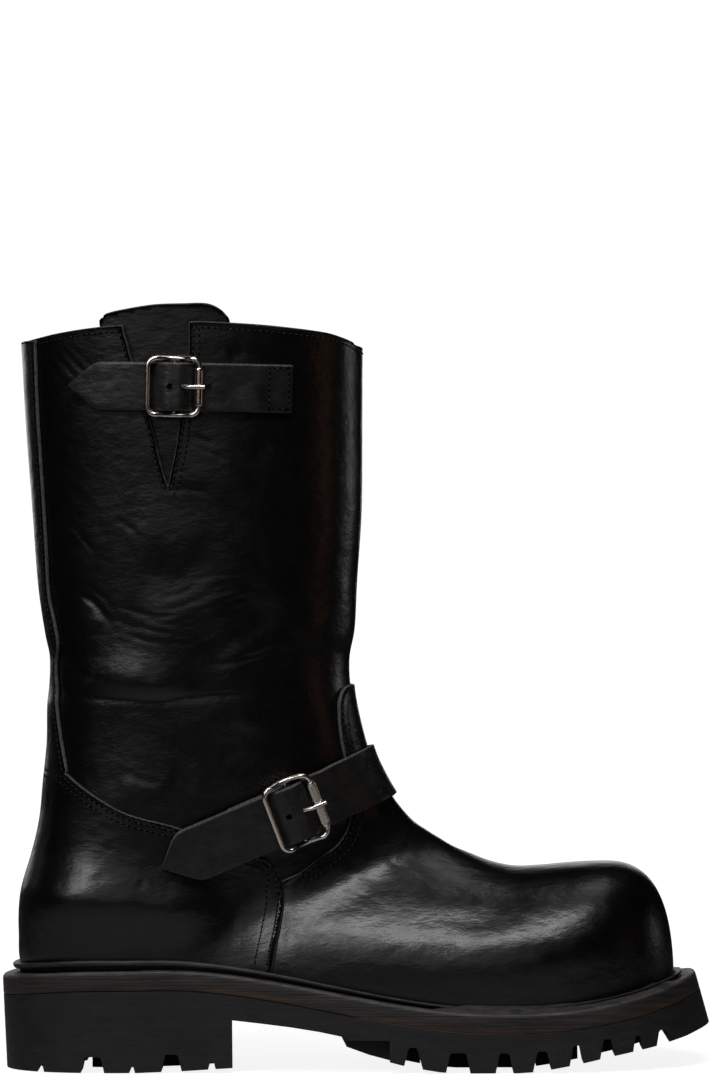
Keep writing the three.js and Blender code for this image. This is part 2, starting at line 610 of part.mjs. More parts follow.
// A strap's solid: liftAt gives its height above the base from the distance to its first end and
// the point below, widthAt its share of the full width.
function bandSolid(plane, fromTurn, toTurn, width, thickness, options) {
  const { liftAt = () => 0, widthAt = () => 1, spacing = 7, across = [-0.5, -0.2, 0.2, 0.5] } = options;
  const { turns, total } = bandTurns(plane, fromTurn, toTurn, spacing);
  const grid = turns.map((turn, k) => across.map((v) => plane.hit(turn, v * width * widthAt((k / (turns.length - 1)) * total))));
  const lower = [];
  const upper = [];
  const last = turns.length - 1;
  for (let k = 0; k <= last; k++)
    for (let r = 0; r < across.length; r++) {
      const alongVector = grid[Math.min(last, k + 1)][1].clone().sub(grid[Math.max(0, k - 1)][1]);
      const acrossVector = grid[k][across.length - 1].clone().sub(grid[k][0]);
      const normal = alongVector.cross(acrossVector).normalize();
      if (normal.dot(grid[k][r].clone().sub(plane.origin)) < 0) normal.negate();
      const lift = strapSeat + liftAt((k / last) * total, grid[k][r]);
      lower.push(grid[k][r].clone().addScaledVector(normal, lift));
      upper.push(grid[k][r].clone().addScaledVector(normal, lift + thickness));
    }
  const rowsAcross = across.length;
  const n = lower.length;
  const faces = [];
  const quad = (a, b, c, d) => faces.push([a, b, c], [a, c, d]);
  for (let k = 0; k < last; k++)
    for (let r = 0; r < rowsAcross - 1; r++) {
      const [a, b, c, d] = [k * rowsAcross + r, (k + 1) * rowsAcross + r, (k + 1) * rowsAcross + r + 1, k * rowsAcross + r + 1];
      quad(d, c, b, a);
      quad(n + a, n + b, n + c, n + d);
    }
  for (let k = 0; k < last; k++) {
    const [a, b] = [k * rowsAcross, (k + 1) * rowsAcross];
    const [c, d] = [a + rowsAcross - 1, b + rowsAcross - 1];
    quad(a, b, n + b, n + a);
    quad(d, c, n + c, n + d);
  }
  for (let r = 0; r < rowsAcross - 1; r++) {
    const far = last * rowsAcross + r;
    quad(r + 1, r, n + r, n + r + 1);
    quad(far, far + 1, n + far + 1, n + far);
  }
  return { solid: toSolid(meshGeometry([...lower, ...upper], faces)), total };
}

// Buckles are made flat, along x as the strap runs and y across it, then set on the strap.
function sweep(path, radius, sides, closed, upAxis) {
  const points = [];
  const count = path.length;
  for (let i = 0; i < count; i++) {
    const next = path[closed ? (i + 1) % count : Math.min(count - 1, i + 1)];
    const previous = path[closed ? (i + count - 1) % count : Math.max(0, i - 1)];
    const tangent = next.clone().sub(previous).normalize();
    const side = tangent.clone().cross(upAxis).normalize();
    const up = side.clone().cross(tangent);
    for (let j = 0; j < sides; j++) {
      const turn = (j / sides) * 2 * Math.PI;
      points.push(path[i].clone().addScaledVector(side, radius * Math.cos(turn)).addScaledVector(up, radius * Math.sin(turn)));
    }
  }
  const faces = [];
  const rings = closed ? count : count - 1;
  for (let i = 0; i < rings; i++)
    for (let j = 0; j < sides; j++) {
      const a = i * sides + j;
      const b = i * sides + ((j + 1) % sides);
      const c = ((i + 1) % count) * sides + ((j + 1) % sides);
      const d = ((i + 1) % count) * sides + j;
      faces.push([a, b, c], [a, c, d]);
    }
  if (!closed)
    for (let j = 1; j < sides - 1; j++) {
      faces.push([0, j + 1, j]);
      const end = (count - 1) * sides;
      faces.push([end, end + j, end + j + 1]);
    }
  return toSolid(meshGeometry(points, faces));
}
const zAxis = new THREE.Vector3(0, 0, 1);
const rod = (from, to, radius, sides) => sweep([from, to], radius, sides, false, zAxis);

const keeperLoop = buckleBar + gap + keeperThickness;
const barHeight = gap + keeperLoop;
const frameHeight = gap + keeperThickness + gap + strapThickness + gap + buckleWire + 0.6;
const rollerRadius = buckleWire + gap + rollerWall;
const humpHeight = barHeight + keeperLoop + gap + 0.15;

function buckleParts({ length, width }) {
  const halfLength = length / 2 - buckleWire;
  const rollerX = length / 2 - rollerRadius;
  const halfWidth = width / 2 - buckleWire;
  const corner = 4;
  const heightAt = (x) => mix(barHeight, frameHeight, clamp01(Math.abs(x) / (halfLength - corner)) ** 2);
  const path = [];
  const corners = [[rollerX - corner, halfWidth - corner, 0], [-halfLength + corner, halfWidth - corner, 1], [-halfLength + corner, -halfWidth + corner, 2], [rollerX - corner, -halfWidth + corner, 3]];
  for (const [x, y, quarter] of corners)
    for (let k = 0; k <= 3; k++) {
      const turn = ((quarter + k / 3) * Math.PI) / 2;
      path.push(new THREE.Vector3(x + corner * Math.cos(turn), y + corner * Math.sin(turn), 0));
      if (k === 3 && quarter % 2 === 0) path.push(new THREE.Vector3((x + corners[quarter + 1][0]) / 2, path[path.length - 1].y, 0));
    }
  for (const p of path) p.z = heightAt(p.x);
  const bar = rod(new THREE.Vector3(0, -halfWidth, barHeight), new THREE.Vector3(0, halfWidth, barHeight), buckleBar, 8);
  const frame = sweep(path, buckleWire, 8, true, zAxis).add(bar);
  const rollerHalf = halfWidth - corner - 0.3;
  const rollerEnds = [new THREE.Vector3(rollerX, -rollerHalf, frameHeight), new THREE.Vector3(rollerX, rollerHalf, frameHeight)];
  const axleEnds = rollerEnds.map((p, i) => p.clone().setY(p.y * 1.2 + (i ? 1 : -1)));
  const roller = rod(...rollerEnds, rollerRadius, 12).subtract(rod(...axleEnds, buckleWire + gap, 12));
  const prongTop = frameHeight + rollerRadius + gap + prongRadius;
  const prongPath = [[0.6, barHeight + 1.2], [3.2, humpHeight + 0.8], [6.5, prongTop - 0.5], [9.5, prongTop], [length / 2 + 1, prongTop]]
    .map(([x, z]) => new THREE.Vector3(x, 0, z));
  const yAxis = new THREE.Vector3(0, 1, 0);
  const alongBar = (half, radius) =>
    rod(new THREE.Vector3(0, -half, barHeight), new THREE.Vector3(0, half, barHeight), radius, 12);
  const eye = alongBar(prongRadius, buckleBar + gap + 1);
  const prong = sweep(prongPath, prongRadius, 8, false, yAxis).add(eye).subtract(alongBar(width / 2, buckleBar + gap));
  const prongPassage = sweep(prongPath, prongRadius + gap + 0.15, 8, false, yAxis)
    .add(alongBar(prongRadius + gap, buckleBar + gap + 1.5));
  return { frame, roller, prong, prongPassage };
}

// The keeper is a short strap that folds round the buckle's bar and is sewn down behind it.
function keeperFold(width) {
  const ends = [new THREE.Vector3(0, -width / 2, barHeight), new THREE.Vector3(0, width / 2, barHeight)];
  const bore = ends.map((p) => p.clone().setY(p.y * 1.2));
  return { fold: rod(...ends, keeperLoop, 12), bore: rod(...bore, buckleBar + gap, 12) };
}

function strapWithBuckle({ base, centre, lean, buckle, width, tipAt, endTurn, keeperLength, buckleAt }) {
  const plane = strapPlane(base, centre, lean);
  const buckleTurn = turnAt(plane, buckleAt, 1);
  const tipTurn = turnAt(plane, tipAt, 1);
  const toBuckle = bandTurns(plane, tipTurn, buckleTurn, 5).total;

  // The buckle's own frame: x along the strap, y across it, z away from the leg.
  const ahead = 0.06;
  const tangent = plane.hit(buckleTurn - ahead, 0).sub(plane.hit(buckleTurn + ahead, 0)).normalize();
  const acrossHits = [-0.5, -0.25, 0, 0.25, 0.5].map((v) => plane.hit(buckleTurn, v * width));
  const normal = tangent.clone().cross(acrossHits[4].clone().sub(acrossHits[0])).normalize();
  if (normal.dot(acrossHits[2].clone().sub(plane.origin)) < 0) normal.negate();
  const seat = Math.max(...acrossHits.map((p) => p.clone().sub(acrossHits[2]).dot(normal)));
  const origin = acrossHits[2].clone().addScaledVector(normal, seat + strapSeat);
  const across = normal.clone().cross(tangent).normalize();
  const set = new THREE.Matrix4().makeBasis(tangent, across, normal).setPosition(origin);
  const place = (solid) => toSolid(toGeometry(solid).applyMatrix4(set));

  const humpReach = buckle.length / 2 - 1;
  const onKeeper = keeperThickness + gap + 0.2;
  const liftAt = (s, below) => {
    const local = below.clone().sub(origin);
    const along = local.dot(tangent);
    const near = Math.abs(s - toBuckle) < buckle.length;
    const step = onKeeper * smoothStep((6 - (s - toBuckle)) / 8);
    const hump = humpHeight * clamp01(1.04 - (along / humpReach) ** 2) ** 1.5;
    return near ? Math.max(step, hump - local.dot(normal) - strapSeat) : step;
  };
  const tipLength = width / 2;
  const widthAt = (s) => mix(0.06, 1, clamp01(s / tipLength));
  const strap = bandSolid(plane, tipTurn, endTurn(plane), width, strapThickness, { liftAt, widthAt, spacing: 5 });
  const parts = buckleParts(buckle);
  const passage = place(parts.prongPassage);
  const tabEnd = turnAt(plane, buckleAt - keeperLength, 1);
  const tab = bandSolid(plane, tabEnd, buckleTurn, width, keeperThickness, {}).solid;
  const { fold, bore } = keeperFold(width);
  const keeper = tab.add(place(fold)).subtract(place(bore)).subtract(passage);
  return {
    strap: strap.solid.subtract(passage),
    frame: place(parts.frame),
    roller: place(parts.roller),
    prong: place(parts.prong),
    keeper,
  };
}

const ankle = strapWithBuckle({
  base: strapBase,
  centre: [0.3525, 0.625],
  lean: ankleStrapLean,
  buckle: ankleBuckle,
  width: ankleStrapWidth,
  tipAt: -0.142 * lastLength,
  endTurn: (plane) => turnAt(plane, -0.05 * lastLength, -1),
  keeperLength: 27,
  buckleAt: 0.0745 * lastLength,
});
const top = strapWithBuckle({
  base: shaftBase,
  centre: [0.26, 1.874],
  lean: topStrapLean,
  buckle: topBuckle,
  width: topStrapWidth,
  tipAt: -0.169 * lastLength,
  endTurn: (plane) => turnAt(plane, 0.163 * lastLength, 1),
  keeperLength: 30,
  buckleAt: -0.012 * lastLength,
});

// Materials by their look.
const look = (color, roughness, metalness = 0) => new THREE.MeshStandardMaterial({ color, roughness, metalness });
const leather = look(0x131214, 0.32);
const strapLeather = look(0x1a191b, 0.38);
const midsoleLeather = look(0x2b2522, 0.55);
const rubber = look(0x1d1d1e, 0.7);
const insoleLeather = look(0x6b4f38, 0.65);
const nickel = look(0xcfc8bd, 0.22, 1);

// The boot, moved so that its origin is under the middle of its bounding box.
const pieces = [
  ["outsole", outsoleSolid(), rubber],
  ["midsole", midsoleSolid(), midsoleLeather],
  ["welt", weltSolid(), midsoleLeather],
  ["insole", insoleSolid(), insoleLeather],
  ["upper", upperSolid(), leather],
  ["gusset", gussetSolid(), leather],
  ["counter", counterSolid(), leather],
  ["vamp", vampSolid(), leather],
  ["backstay", backstaySolid(), leather],
  ["ankle_strap", ankle.strap, strapLeather],
  ["ankle_buckle_keeper", ankle.keeper, strapLeather],
  ["ankle_buckle_frame", ankle.frame, nickel],
  ["ankle_buckle_roller", ankle.roller, nickel],
  ["ankle_buckle_prong", ankle.prong, nickel],
  ["top_strap", top.strap, strapLeather],
  ["top_buckle_keeper", top.keeper, strapLeather],
  ["top_buckle_frame", top.frame, nickel],
  ["top_buckle_roller", top.roller, nickel],
  ["top_buckle_prong", top.prong, nickel],
];

const boot = new THREE.Group();
for (const [name, solid, material] of pieces) {
  const mesh = new THREE.Mesh(toGeometry(mainBody(solid)), material);
  mesh.name = name;
  boot.add(mesh);
}
const bounds = new THREE.Box3().setFromObject(boot);
boot.position.set(-(bounds.min.x + bounds.max.x) / 2, -(bounds.min.y + bounds.max.y) / 2, -bounds.min.z);

export default boot;
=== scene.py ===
"""A right engineer boot in black leather on a lugged rubber sole, dressed over its CAD frame.

Tables and functions work in millimetres. new_mesh and solid turn them into metres.
+X points to the toe, -Y is the outer side with the buckles, +Z is up.
The form, the panels' edges and the straps repeat the frame's tables and are drawn finely.
"""
import math
from collections import namedtuple

import bmesh
import bpy
import numpy as np
from mathutils import Matrix, Vector
from mathutils.bvhtree import BVHTree
from mathutils.geometry import delaunay_2d_cdt


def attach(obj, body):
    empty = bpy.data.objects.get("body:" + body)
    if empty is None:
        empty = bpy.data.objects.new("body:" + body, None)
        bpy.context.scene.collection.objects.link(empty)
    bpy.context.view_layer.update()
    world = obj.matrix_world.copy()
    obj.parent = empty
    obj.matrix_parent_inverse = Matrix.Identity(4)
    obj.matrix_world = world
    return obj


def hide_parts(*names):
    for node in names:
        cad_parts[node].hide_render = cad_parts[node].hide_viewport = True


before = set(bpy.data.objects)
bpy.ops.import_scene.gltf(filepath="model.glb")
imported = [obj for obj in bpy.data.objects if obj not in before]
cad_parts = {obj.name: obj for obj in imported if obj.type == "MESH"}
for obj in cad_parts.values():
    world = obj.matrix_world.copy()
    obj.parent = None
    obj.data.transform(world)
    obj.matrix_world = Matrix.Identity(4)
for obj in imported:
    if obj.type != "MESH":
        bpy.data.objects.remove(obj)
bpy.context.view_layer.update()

# Driving dimensions of the last, as in the frame.
LAST_LENGTH = 298.0
BALL_WIDTH = 108.0
SHAFT_WIDTH = 94.0
ANKLE_HEIGHT = 100.0
SHAFT_HEIGHT = 283.5
HEEL_BACK_X = -153.01
LINE_Y = -0.66

# The feather line, where the upper meets the sole.
HEEL_STACK = 50.5
BALL_STACK = 28.9
FEATHER_SPRING = 11.0
HEEL_DIP = 3.6
HEEL_DIP_END = 0.12
WAIST_START = 0.211
WAIST_END = 0.728
SPRING_START = 0.762

# Leather and sole thicknesses.
WALL = 3.0
OVERLAY = 1.6
GAP = 0.3
MIDSOLE = 8.8
WELT_WIDTH = 3.4
WELT_HEEL_RISE = 4.6
WELT_TOE_RISE = 2.4

# The sole's ledge beyond the leather, at the top and at the bottom of its side.
SIDE_LEDGE = 9.9
TOE_LEDGE_TOP = 9.2
TOE_LEDGE_BOTTOM = 22.6
HEEL_LEDGE_TOP = 10.4
HEEL_LEDGE_BOTTOM = 8.4
LEDGE_TOP_HEIGHT = 50.0

# The tread.
ARCH_RISE = 23.7
TIP_RISE = 17.6
LUG_DEPTH = 9.0
LUG_BAND = 24.0
CHANNEL_WIDTH = 5.0
BREAST_SKEW = 0.045
FIRST_LUG_INSET = 10.0
FIRST_LUG_END = 0.565
FIRST_LUG_TOP = 14.6

# The straps and their buckles.
STRAP_THICKNESS = 2.0
KEEPER_THICKNESS = 1.3
BUCKLE_WIRE = 1.25
BUCKLE_BAR = 0.9
ROLLER_WALL = 0.55
PRONG_RADIUS = 1.05

# Shaft sections from above the collar down: the back's and the front's share of the last's
# length and height, the half width as a share of the shaft's width, and where it is widest.
ShaftRow = namedtuple("ShaftRow", "back front half middle")
SHAFT_ROWS = [
    ShaftRow((0.006, 2.185), (0.535, 2.211), 0.508, 0.5),
    ShaftRow((0.012, 2.0), (0.5335, 2.051), 0.503, 0.5),
    ShaftRow((0.0185, 1.787), (0.532, 1.85), 0.497, 0.5),
    ShaftRow((0.0275, 1.57), (0.53, 1.647), 0.489, 0.5),
    ShaftRow((0.035, 1.39), (0.522, 1.467), 0.479, 0.5),
    ShaftRow((0.045, 1.27), (0.5175, 1.345), 0.468, 0.49),
    ShaftRow((0.0535, 1.196), (0.509, 1.266), 0.459, 0.48),
    ShaftRow((0.0475, 1.095), (0.511, 1.185), 0.455, 0.46),
    ShaftRow((0.046, 0.995), (0.521, 1.101), 0.449, 0.43),
]
SHAFT_POWERS = (2.3, 2.2)

# Foot sections from the ankle to the toe cap. Outer and inner are half widths as shares of the
# ball width, and the powers say how square the section's back and front ends are.
FootRow = namedtuple("FootRow", "back front outer inner middle back_power front_power")
FOOT_ROWS = [
    FootRow((0.0395, 0.815), (0.535, 1.026), 0.387, 0.377, 0.4, 2.3, 2.2),
    FootRow((0.0335, 0.645), (0.552, 0.948), 0.38, 0.366, 0.36, 2.4, 2.2),
    FootRow((0.0205, 0.475), (0.569, 0.872), 0.373, 0.355, 0.32, 2.4, 2.1),
    FootRow((0.0047, 0.295), (0.5856, 0.815), 0.363, 0.345, 0.28, 2.4, 2.0),
    FootRow((0.001, 0.135), (0.602, 0.772), 0.352, 0.335, 0.25, 2.4, 2.0),
    FootRow((0.0067, -0.03), (0.621, 0.74), 0.347, 0.327, 0.25, 2.5, 1.95),
    FootRow((0.057, -0.17), (0.641, 0.71), 0.35, 0.322, 0.27, 3.0, 1.9),
    FootRow((0.171, -0.19), (0.663, 0.677), 0.365, 0.322, 0.3, 3.2, 1.9),
    FootRow((0.312, -0.18), (0.688, 0.651), 0.398, 0.335, 0.33, 3.4, 1.9),
    FootRow((0.47, -0.18), (0.7215, 0.615), 0.448, 0.38, 0.36, 3.6, 1.95),
    FootRow((0.614, -0.18), (0.758, 0.591), 0.49, 0.438, 0.38, 3.8, 2.0),
    FootRow((0.7215, -0.18), (0.795, 0.589), 0.504, 0.477, 0.39, 4.0, 2.1),
    FootRow((0.802, -0.17), (0.832, 0.59), 0.49, 0.488, 0.4, 4.0, 2.2),
    FootRow((0.856, -0.16), (0.866, 0.585), 0.463, 0.48, 0.42, 4.0, 2.3),
    FootRow((0.896, -0.15), (0.896, 0.573), 0.425, 0.462, 0.43, 4.0, 2.4),
]
TOE_PROFILE_POWER = 2.8
TOE_PLAN_POWER = 2.3
TOE_PLAN_START = 0.72
TOE_SEAT = 0.025
TOE_TIP_SHIFT = 0.03

# Side-view outlines: share of the last's length, then height as in the section tables.
COLLAR_LINE = [
    (-0.1, 1.995), (0.006, 2.002), (0.074, 2.011), (0.148, 2.021), (0.27, 2.034), (0.36, 2.047),
    (0.42, 2.057), (0.475, 2.065), (0.5, 2.063), (0.518, 2.058), (0.534, 2.051), (0.64, 2.05),
]
COUNTER_EDGE = [
    (0.04, 0.887), (0.054, 0.873), (0.0755, 0.845), (0.0966, 0.79), (0.127, 0.726), (0.157, 0.675),
    (0.1876, 0.642), (0.2456, 0.598), (0.319, 0.529), (0.368, 0.507), (0.383, 0.492), (0.395, 0.454),
    (0.4024, 0.39), (0.4037, 0.313), (0.3987, 0.197), (0.392, 0.103), (0.386, 0.0),
]
COUNTER_CORNER = 12
VAMP_EDGE = [
    (0.431, 0.465), (0.4617, 0.552), (0.485, 0.615), (0.5, 0.684), (0.508, 0.766), (0.511, 0.85),
    (0.504, 0.981), (0.498, 1.026), (0.4926, 1.073), (0.49, 1.134), (0.4916, 1.163), (0.4977, 1.186),
    (0.507, 1.197),
]
BACKSTAY_EDGE = [
    (0.0326, 2.1), (0.036, 1.845), (0.04, 1.72), (0.0443, 1.596), (0.048, 1.471), (0.0507, 1.371),
    (0.0594, 1.296), (0.0654, 1.246), (0.065, 1.209), (0.0617, 1.147), (0.0614, 1.097),
    (0.0658, 1.034), (0.0715, 0.949), (0.077, 0.862),
]
NOTCH_OUTLINE = [
    (0.1664, 2.12), (0.1664, 2.026), (0.174, 1.976), (0.181, 1.931), (0.2094, 1.778), (0.218, 1.717),
    (0.2255, 1.667), (0.233, 1.63), (0.2375, 1.63), (0.2425, 1.667), (0.249, 1.717), (0.255, 1.778),
    (0.2695, 1.944), (0.271, 2.028), (0.271, 2.12),
]
GUSSET_OUTLINE = [
    (0.213, 1.6), (0.26, 1.6), (0.32, 1.95), (0.331, 2.04), (0.325, 2.063), (0.311, 2.078),
    (0.293, 2.083), (0.262, 2.078), (0.216, 2.073), (0.171, 2.063), (0.1434, 2.054),
    (0.1355, 2.044), (0.1355, 1.99),
]

# The tread's line: share of the last's length, then share of the arch's or the tip's rise.
HEEL_TREAD = [(-0.08, 0), (0.18, 0), (0.25, 0.03), (0.327, 0.09)]
ARCH_LINE = [(0.327, 1), (0.369, 0.94), (0.414, 0.87), (0.459, 0.78), (0.501, 0.67)]
FOREFOOT_TREAD = [
    (0.501, 0.62), (0.534, 0.42), (0.581, 0.21), (0.611, 0.11), (0.64, 0.03), (0.667, 0), (0.76, 0),
    (0.787, 0.03), (0.806, 0.08), (0.852, 0.22), (0.893, 0.37), (0.966, 0.6), (1.017, 0.8),
    (1.036, 0.9), (1.059, 1.0), (1.1, 1.2),
]
LugGap = namedtuple("LugGap", "along top bottom depth")
LUG_GAPS = [
    LugGap(0.033, 1.8, 3.3, 0.33),
    LugGap(0.113, 7.8, 11, 0.8),
    LugGap(0.1735, 1.3, 2.8, 0.33),
    LugGap(0.2335, 6, 9.5, 0.86),
    LugGap(0.295, 2, 3.7, 0.38),
    LugGap(0.6, 4, 8.6, 1),
    LugGap(0.668, 7.4, 11.2, 1.02),
    LugGap(0.738, 4.6, 8.2, 1),
    LugGap(0.795, 4.6, 8.4, 0.98),
    LugGap(0.847, 3.3, 6.4, 0.95),
    LugGap(0.894, 3.7, 6.8, 0.9),
    LugGap(0.9405, 2.3, 4.4, 0.75),
    LugGap(0.98, 3.7, 6, 0.68),
]


# Small helpers.
def mix(a, b, t):
    return a + (b - a) * t


def smooth_step(t):
    t = np.clip(t, 0.0, 1.0)
    return t * t * (3 - 2 * t)


def signed_power(v, p):
    return np.sign(v) * np.abs(v) ** p


def unit(v):
    return v / np.maximum(np.linalg.norm(v, axis=-1, keepdims=True), 1e-12)


def spline(table, t):
    """A smooth curve through the rows of table, at each t, counted in rows."""
    table = np.asarray(table, float)
    last = len(table) - 1
    i = np.clip(np.floor(t).astype(int), 0, last - 1)
    f = (t - i)[:, None]
    a = table[np.clip(i - 1, 0, last)]
    b = table[i]
    c = table[np.clip(i + 1, 0, last)]
    d = table[np.clip(i + 2, 0, last)]
    return b + 0.5 * f * (c - a + f * (2 * a - 5 * b + 4 * c - d + f * (3 * (b - c) + d - a)))


def resample(points, spacing, closed=False):
    """The polyline's points, evenly spaced."""
    points = np.asarray(points, float)
    if closed:
        points = np.vstack([points, points[:1]])
    length = np.concatenate([[0], np.cumsum(np.linalg.norm(np.diff(points, axis=0), axis=1))])
    count = max(2, int(round(length[-1] / spacing)))
    at = np.linspace(0, length[-1], count + 1)
    if closed:
        at = at[:-1]
    return np.stack([np.interp(at, length, points[:, k]) for k in range(points.shape[1])], 1)


def curved(points, per_span=12):
    """A smooth polyline through given points."""
    t = np.linspace(0, len(points) - 1, (len(points) - 1) * per_span + 1)
    return spline(points, t)


# The feather line and the two measures that the tables use.
def along_x(share):
    return HEEL_BACK_X + np.asarray(share, float) * LAST_LENGTH


def feather_z(x):
    share = (np.asarray(x, float) - HEEL_BACK_X) / LAST_LENGTH
    waist = smooth_step((share - WAIST_START) / (WAIST_END - WAIST_START))
    toe = np.clip((share - SPRING_START) / (1 - SPRING_START), 0, 1.2)
    dip = np.clip((HEEL_DIP_END - share) / 0.15, 0, 1) ** 1.8
    return mix(HEEL_STACK, BALL_STACK, waist) + FEATHER_SPRING * toe**2 - HEEL_DIP * dip


def side_points(table):
    """Side-view millimetres, x and z, of rows of length share and height."""
    table = np.asarray(table, float)
    x = along_x(table[:, 0])
    height = table[:, 1]
    low = np.minimum(height, 1) * ANKLE_HEIGHT
    high = np.maximum(height - 1, 0) * (SHAFT_HEIGHT - ANKLE_HEIGHT)
    return np.stack([x, feather_z(x) + low + high], 1)


# The form: the same fanned sections as the frame's, at any row and turn.
Section = namedtuple("Section", "back_x back_z front_x front_z outer inner middle back_power front_power shift")


def form_rows():
    rows = []
    for row in SHAFT_ROWS:
        ends = side_points([row.back, row.front]).ravel()
        half = row.half * SHAFT_WIDTH
        rows.append([*ends, half, half, row.middle, *SHAFT_POWERS])
    for row in FOOT_ROWS:
        ends = side_points([row.back, row.front]).ravel()
        half_widths = (row.outer * BALL_WIDTH, row.inner * BALL_WIDTH)
        rows.append([*ends, *half_widths, row.middle, row.back_power, row.front_power])
    return np.array(rows)


ROWS = form_rows()
TOE_ROW = len(ROWS) - 1.0
CAP_START = ROWS[-1][2]
CAP_LENGTH = along_x(1) - CAP_START
CAP_SEAT_Z = feather_z(CAP_START) - TOE_SEAT * ANKLE_HEIGHT


def toe_reach_and_rise(turn):
    reach = np.sin(turn) ** (2 / TOE_PROFILE_POWER)
    rise = np.cos(turn) ** (2 / TOE_PROFILE_POWER)
    return reach, rise


def toe_turn_table():
    """Toe turns at evenly spaced lengths along the cap's profile."""
    turn = np.linspace(0, math.pi / 2, 4001)
    reach, rise = toe_reach_and_rise(turn)
    height = ROWS[-1][3] - CAP_SEAT_Z
    steps = np.hypot(np.diff(reach * CAP_LENGTH), np.diff(rise * height))
    length = np.concatenate([[0], np.cumsum(steps)])
    return turn, length / length[-1], length[-1]


TOE_TURNS, TOE_LENGTHS, TOE_PROFILE_LENGTH = toe_turn_table()


def sections_at(t):
    """Sections at rows t. Past the last row, t goes on along the toe cap's profile."""
    body = spline(ROWS, np.minimum(t, TOE_ROW))
    share = np.clip(t - TOE_ROW, 0, 1)
    turn = np.interp(share, TOE_LENGTHS, TOE_TURNS)
    reach, rise = toe_reach_and_rise(turn)
    x = CAP_START + CAP_LENGTH * reach
    plan_from = along_x(TOE_PLAN_START)
    plan_length = CAP_START + CAP_LENGTH - plan_from

    def in_plan(at):
        inside = np.clip(1 - ((at - plan_from) / plan_length) ** TOE_PLAN_POWER, 0, 1)
        return inside ** (1 / TOE_PLAN_POWER)

    narrow = np.where(share > 0, in_plan(x) / in_plan(CAP_START), 1.0)
    on_cap = share > 0
    last = ROWS[-1]
    back_x = np.where(on_cap, x, body[:, 0])
    front_x = np.where(on_cap, x, body[:, 2])
    back_z = np.where(on_cap, mix(CAP_SEAT_Z, last[1], rise), body[:, 1])
    front_z = np.where(on_cap, mix(CAP_SEAT_Z, last[3], rise), body[:, 3])
    shift = TOE_TIP_SHIFT * BALL_WIDTH * (1 - narrow)
    return Section(
        back_x, back_z, front_x, front_z, body[:, 4] * narrow, body[:, 5] * narrow,
        body[:, 6], body[:, 7], body[:, 8], shift,
    )


def section_points(s, turn):
    """Points of sections s at turn: 0 is the front or top, then round by the outer side."""
    c = np.cos(turn)
    power = np.where(c > 0, s.front_power, s.back_power)
    along = signed_power(c, 2 / power)
    side = signed_power(np.sin(turn), 2 / power)
    share = s.middle + along * np.where(c > 0, 1 - s.middle, s.middle)
    half = np.where(side > 0, s.outer, s.inner)
    x = mix(s.back_x, s.front_x, share)
    y = LINE_Y + s.shift - half * side
    z = mix(s.back_z, s.front_z, share)
    return np.stack([x, y, z], -1)


def repeat_sections(s, count):
    return Section(*[np.repeat(column[:, None], count, 1) for column in s])


# Round each section, w runs evenly along the leather: 0 at the front or top, 1 at the back or
# bottom, and is negative on the inner side. Down the boot, u counts millimetres.
TABLE_ROWS = 480
TABLE_COLUMNS = 512


def walk_table():
    """Rows, u, and for each side the turn at each even share of the half girth."""
    t = np.linspace(0, TOE_ROW + 1, TABLE_ROWS)
    s = sections_at(t)
    fine = np.linspace(0, math.pi, 2 * TABLE_COLUMNS + 1)
    turns = {}
    for side in (1, -1):
        points = section_points(repeat_sections(s, len(fine)), side * fine[None, :])
        steps = np.linalg.norm(np.diff(points, axis=1), axis=2)
        length = np.concatenate([np.zeros((len(t), 1)), np.cumsum(steps, 1)], 1)
        length /= np.maximum(length[:, -1:], 1e-9)
        even = np.linspace(0, 1, TABLE_COLUMNS + 1)
        turns[side] = np.array([np.interp(even, row, fine) for row in length])
    back = np.hypot(np.diff(s.back_x), np.diff(s.back_z))
    front = np.hypot(np.diff(s.front_x), np.diff(s.front_z))
    u = np.concatenate([[0], np.cumsum(0.35 * back + 0.65 * front)])
    return t, u, turns


WALK_T, WALK_U, WALK_TURNS = walk_table()
GIRTH = 190.0


def turn_at(t, w):
    """The section turn at row t and share w, where w may run past 1 onto the other side."""
    w = np.where(w > 1, w - 2, np.where(w < -1, w + 2, w))
    side = np.where(w < 0, -1, 1)
    row = np.clip(t / (TOE_ROW + 1) * (TABLE_ROWS - 1), 0, TABLE_ROWS - 1.001)
    column = np.clip(np.abs(w) * TABLE_COLUMNS, 0, TABLE_COLUMNS - 0.001)
    i, j = row.astype(int), column.astype(int)
    fi, fj = row - i, column - j
    result = np.zeros_like(row)
    for sign in (1, -1):
        table = WALK_TURNS[sign]
        near = mix(table[i, j], table[i, j + 1], fj)
        far = mix(table[i + 1, j], table[i + 1, j + 1], fj)
        result = np.where(side == sign, sign * mix(near, far, fi), result)
    return result


def surface(u, w):
    """Points of the form and its outward normals, at u millimetres down and share w round."""
    u = np.asarray(u, float)
    w = np.asarray(w, float)
    t = np.interp(u, WALK_U, WALK_T)
    turn = turn_at(t, w)
    point = section_points(sections_at(t), turn)
    step_t, step_turn = 0.004, 0.004
    t_low, t_high = np.maximum(t - step_t, 0), np.minimum(t + step_t, TOE_ROW + 0.995)
    down = section_points(sections_at(t_high), turn) - section_points(sections_at(t_low), turn)
    s = sections_at(t)
    round_ = section_points(s, turn + step_turn) - section_points(s, turn - step_turn)
    normal = unit(np.cross(round_, down))
    return point, normal


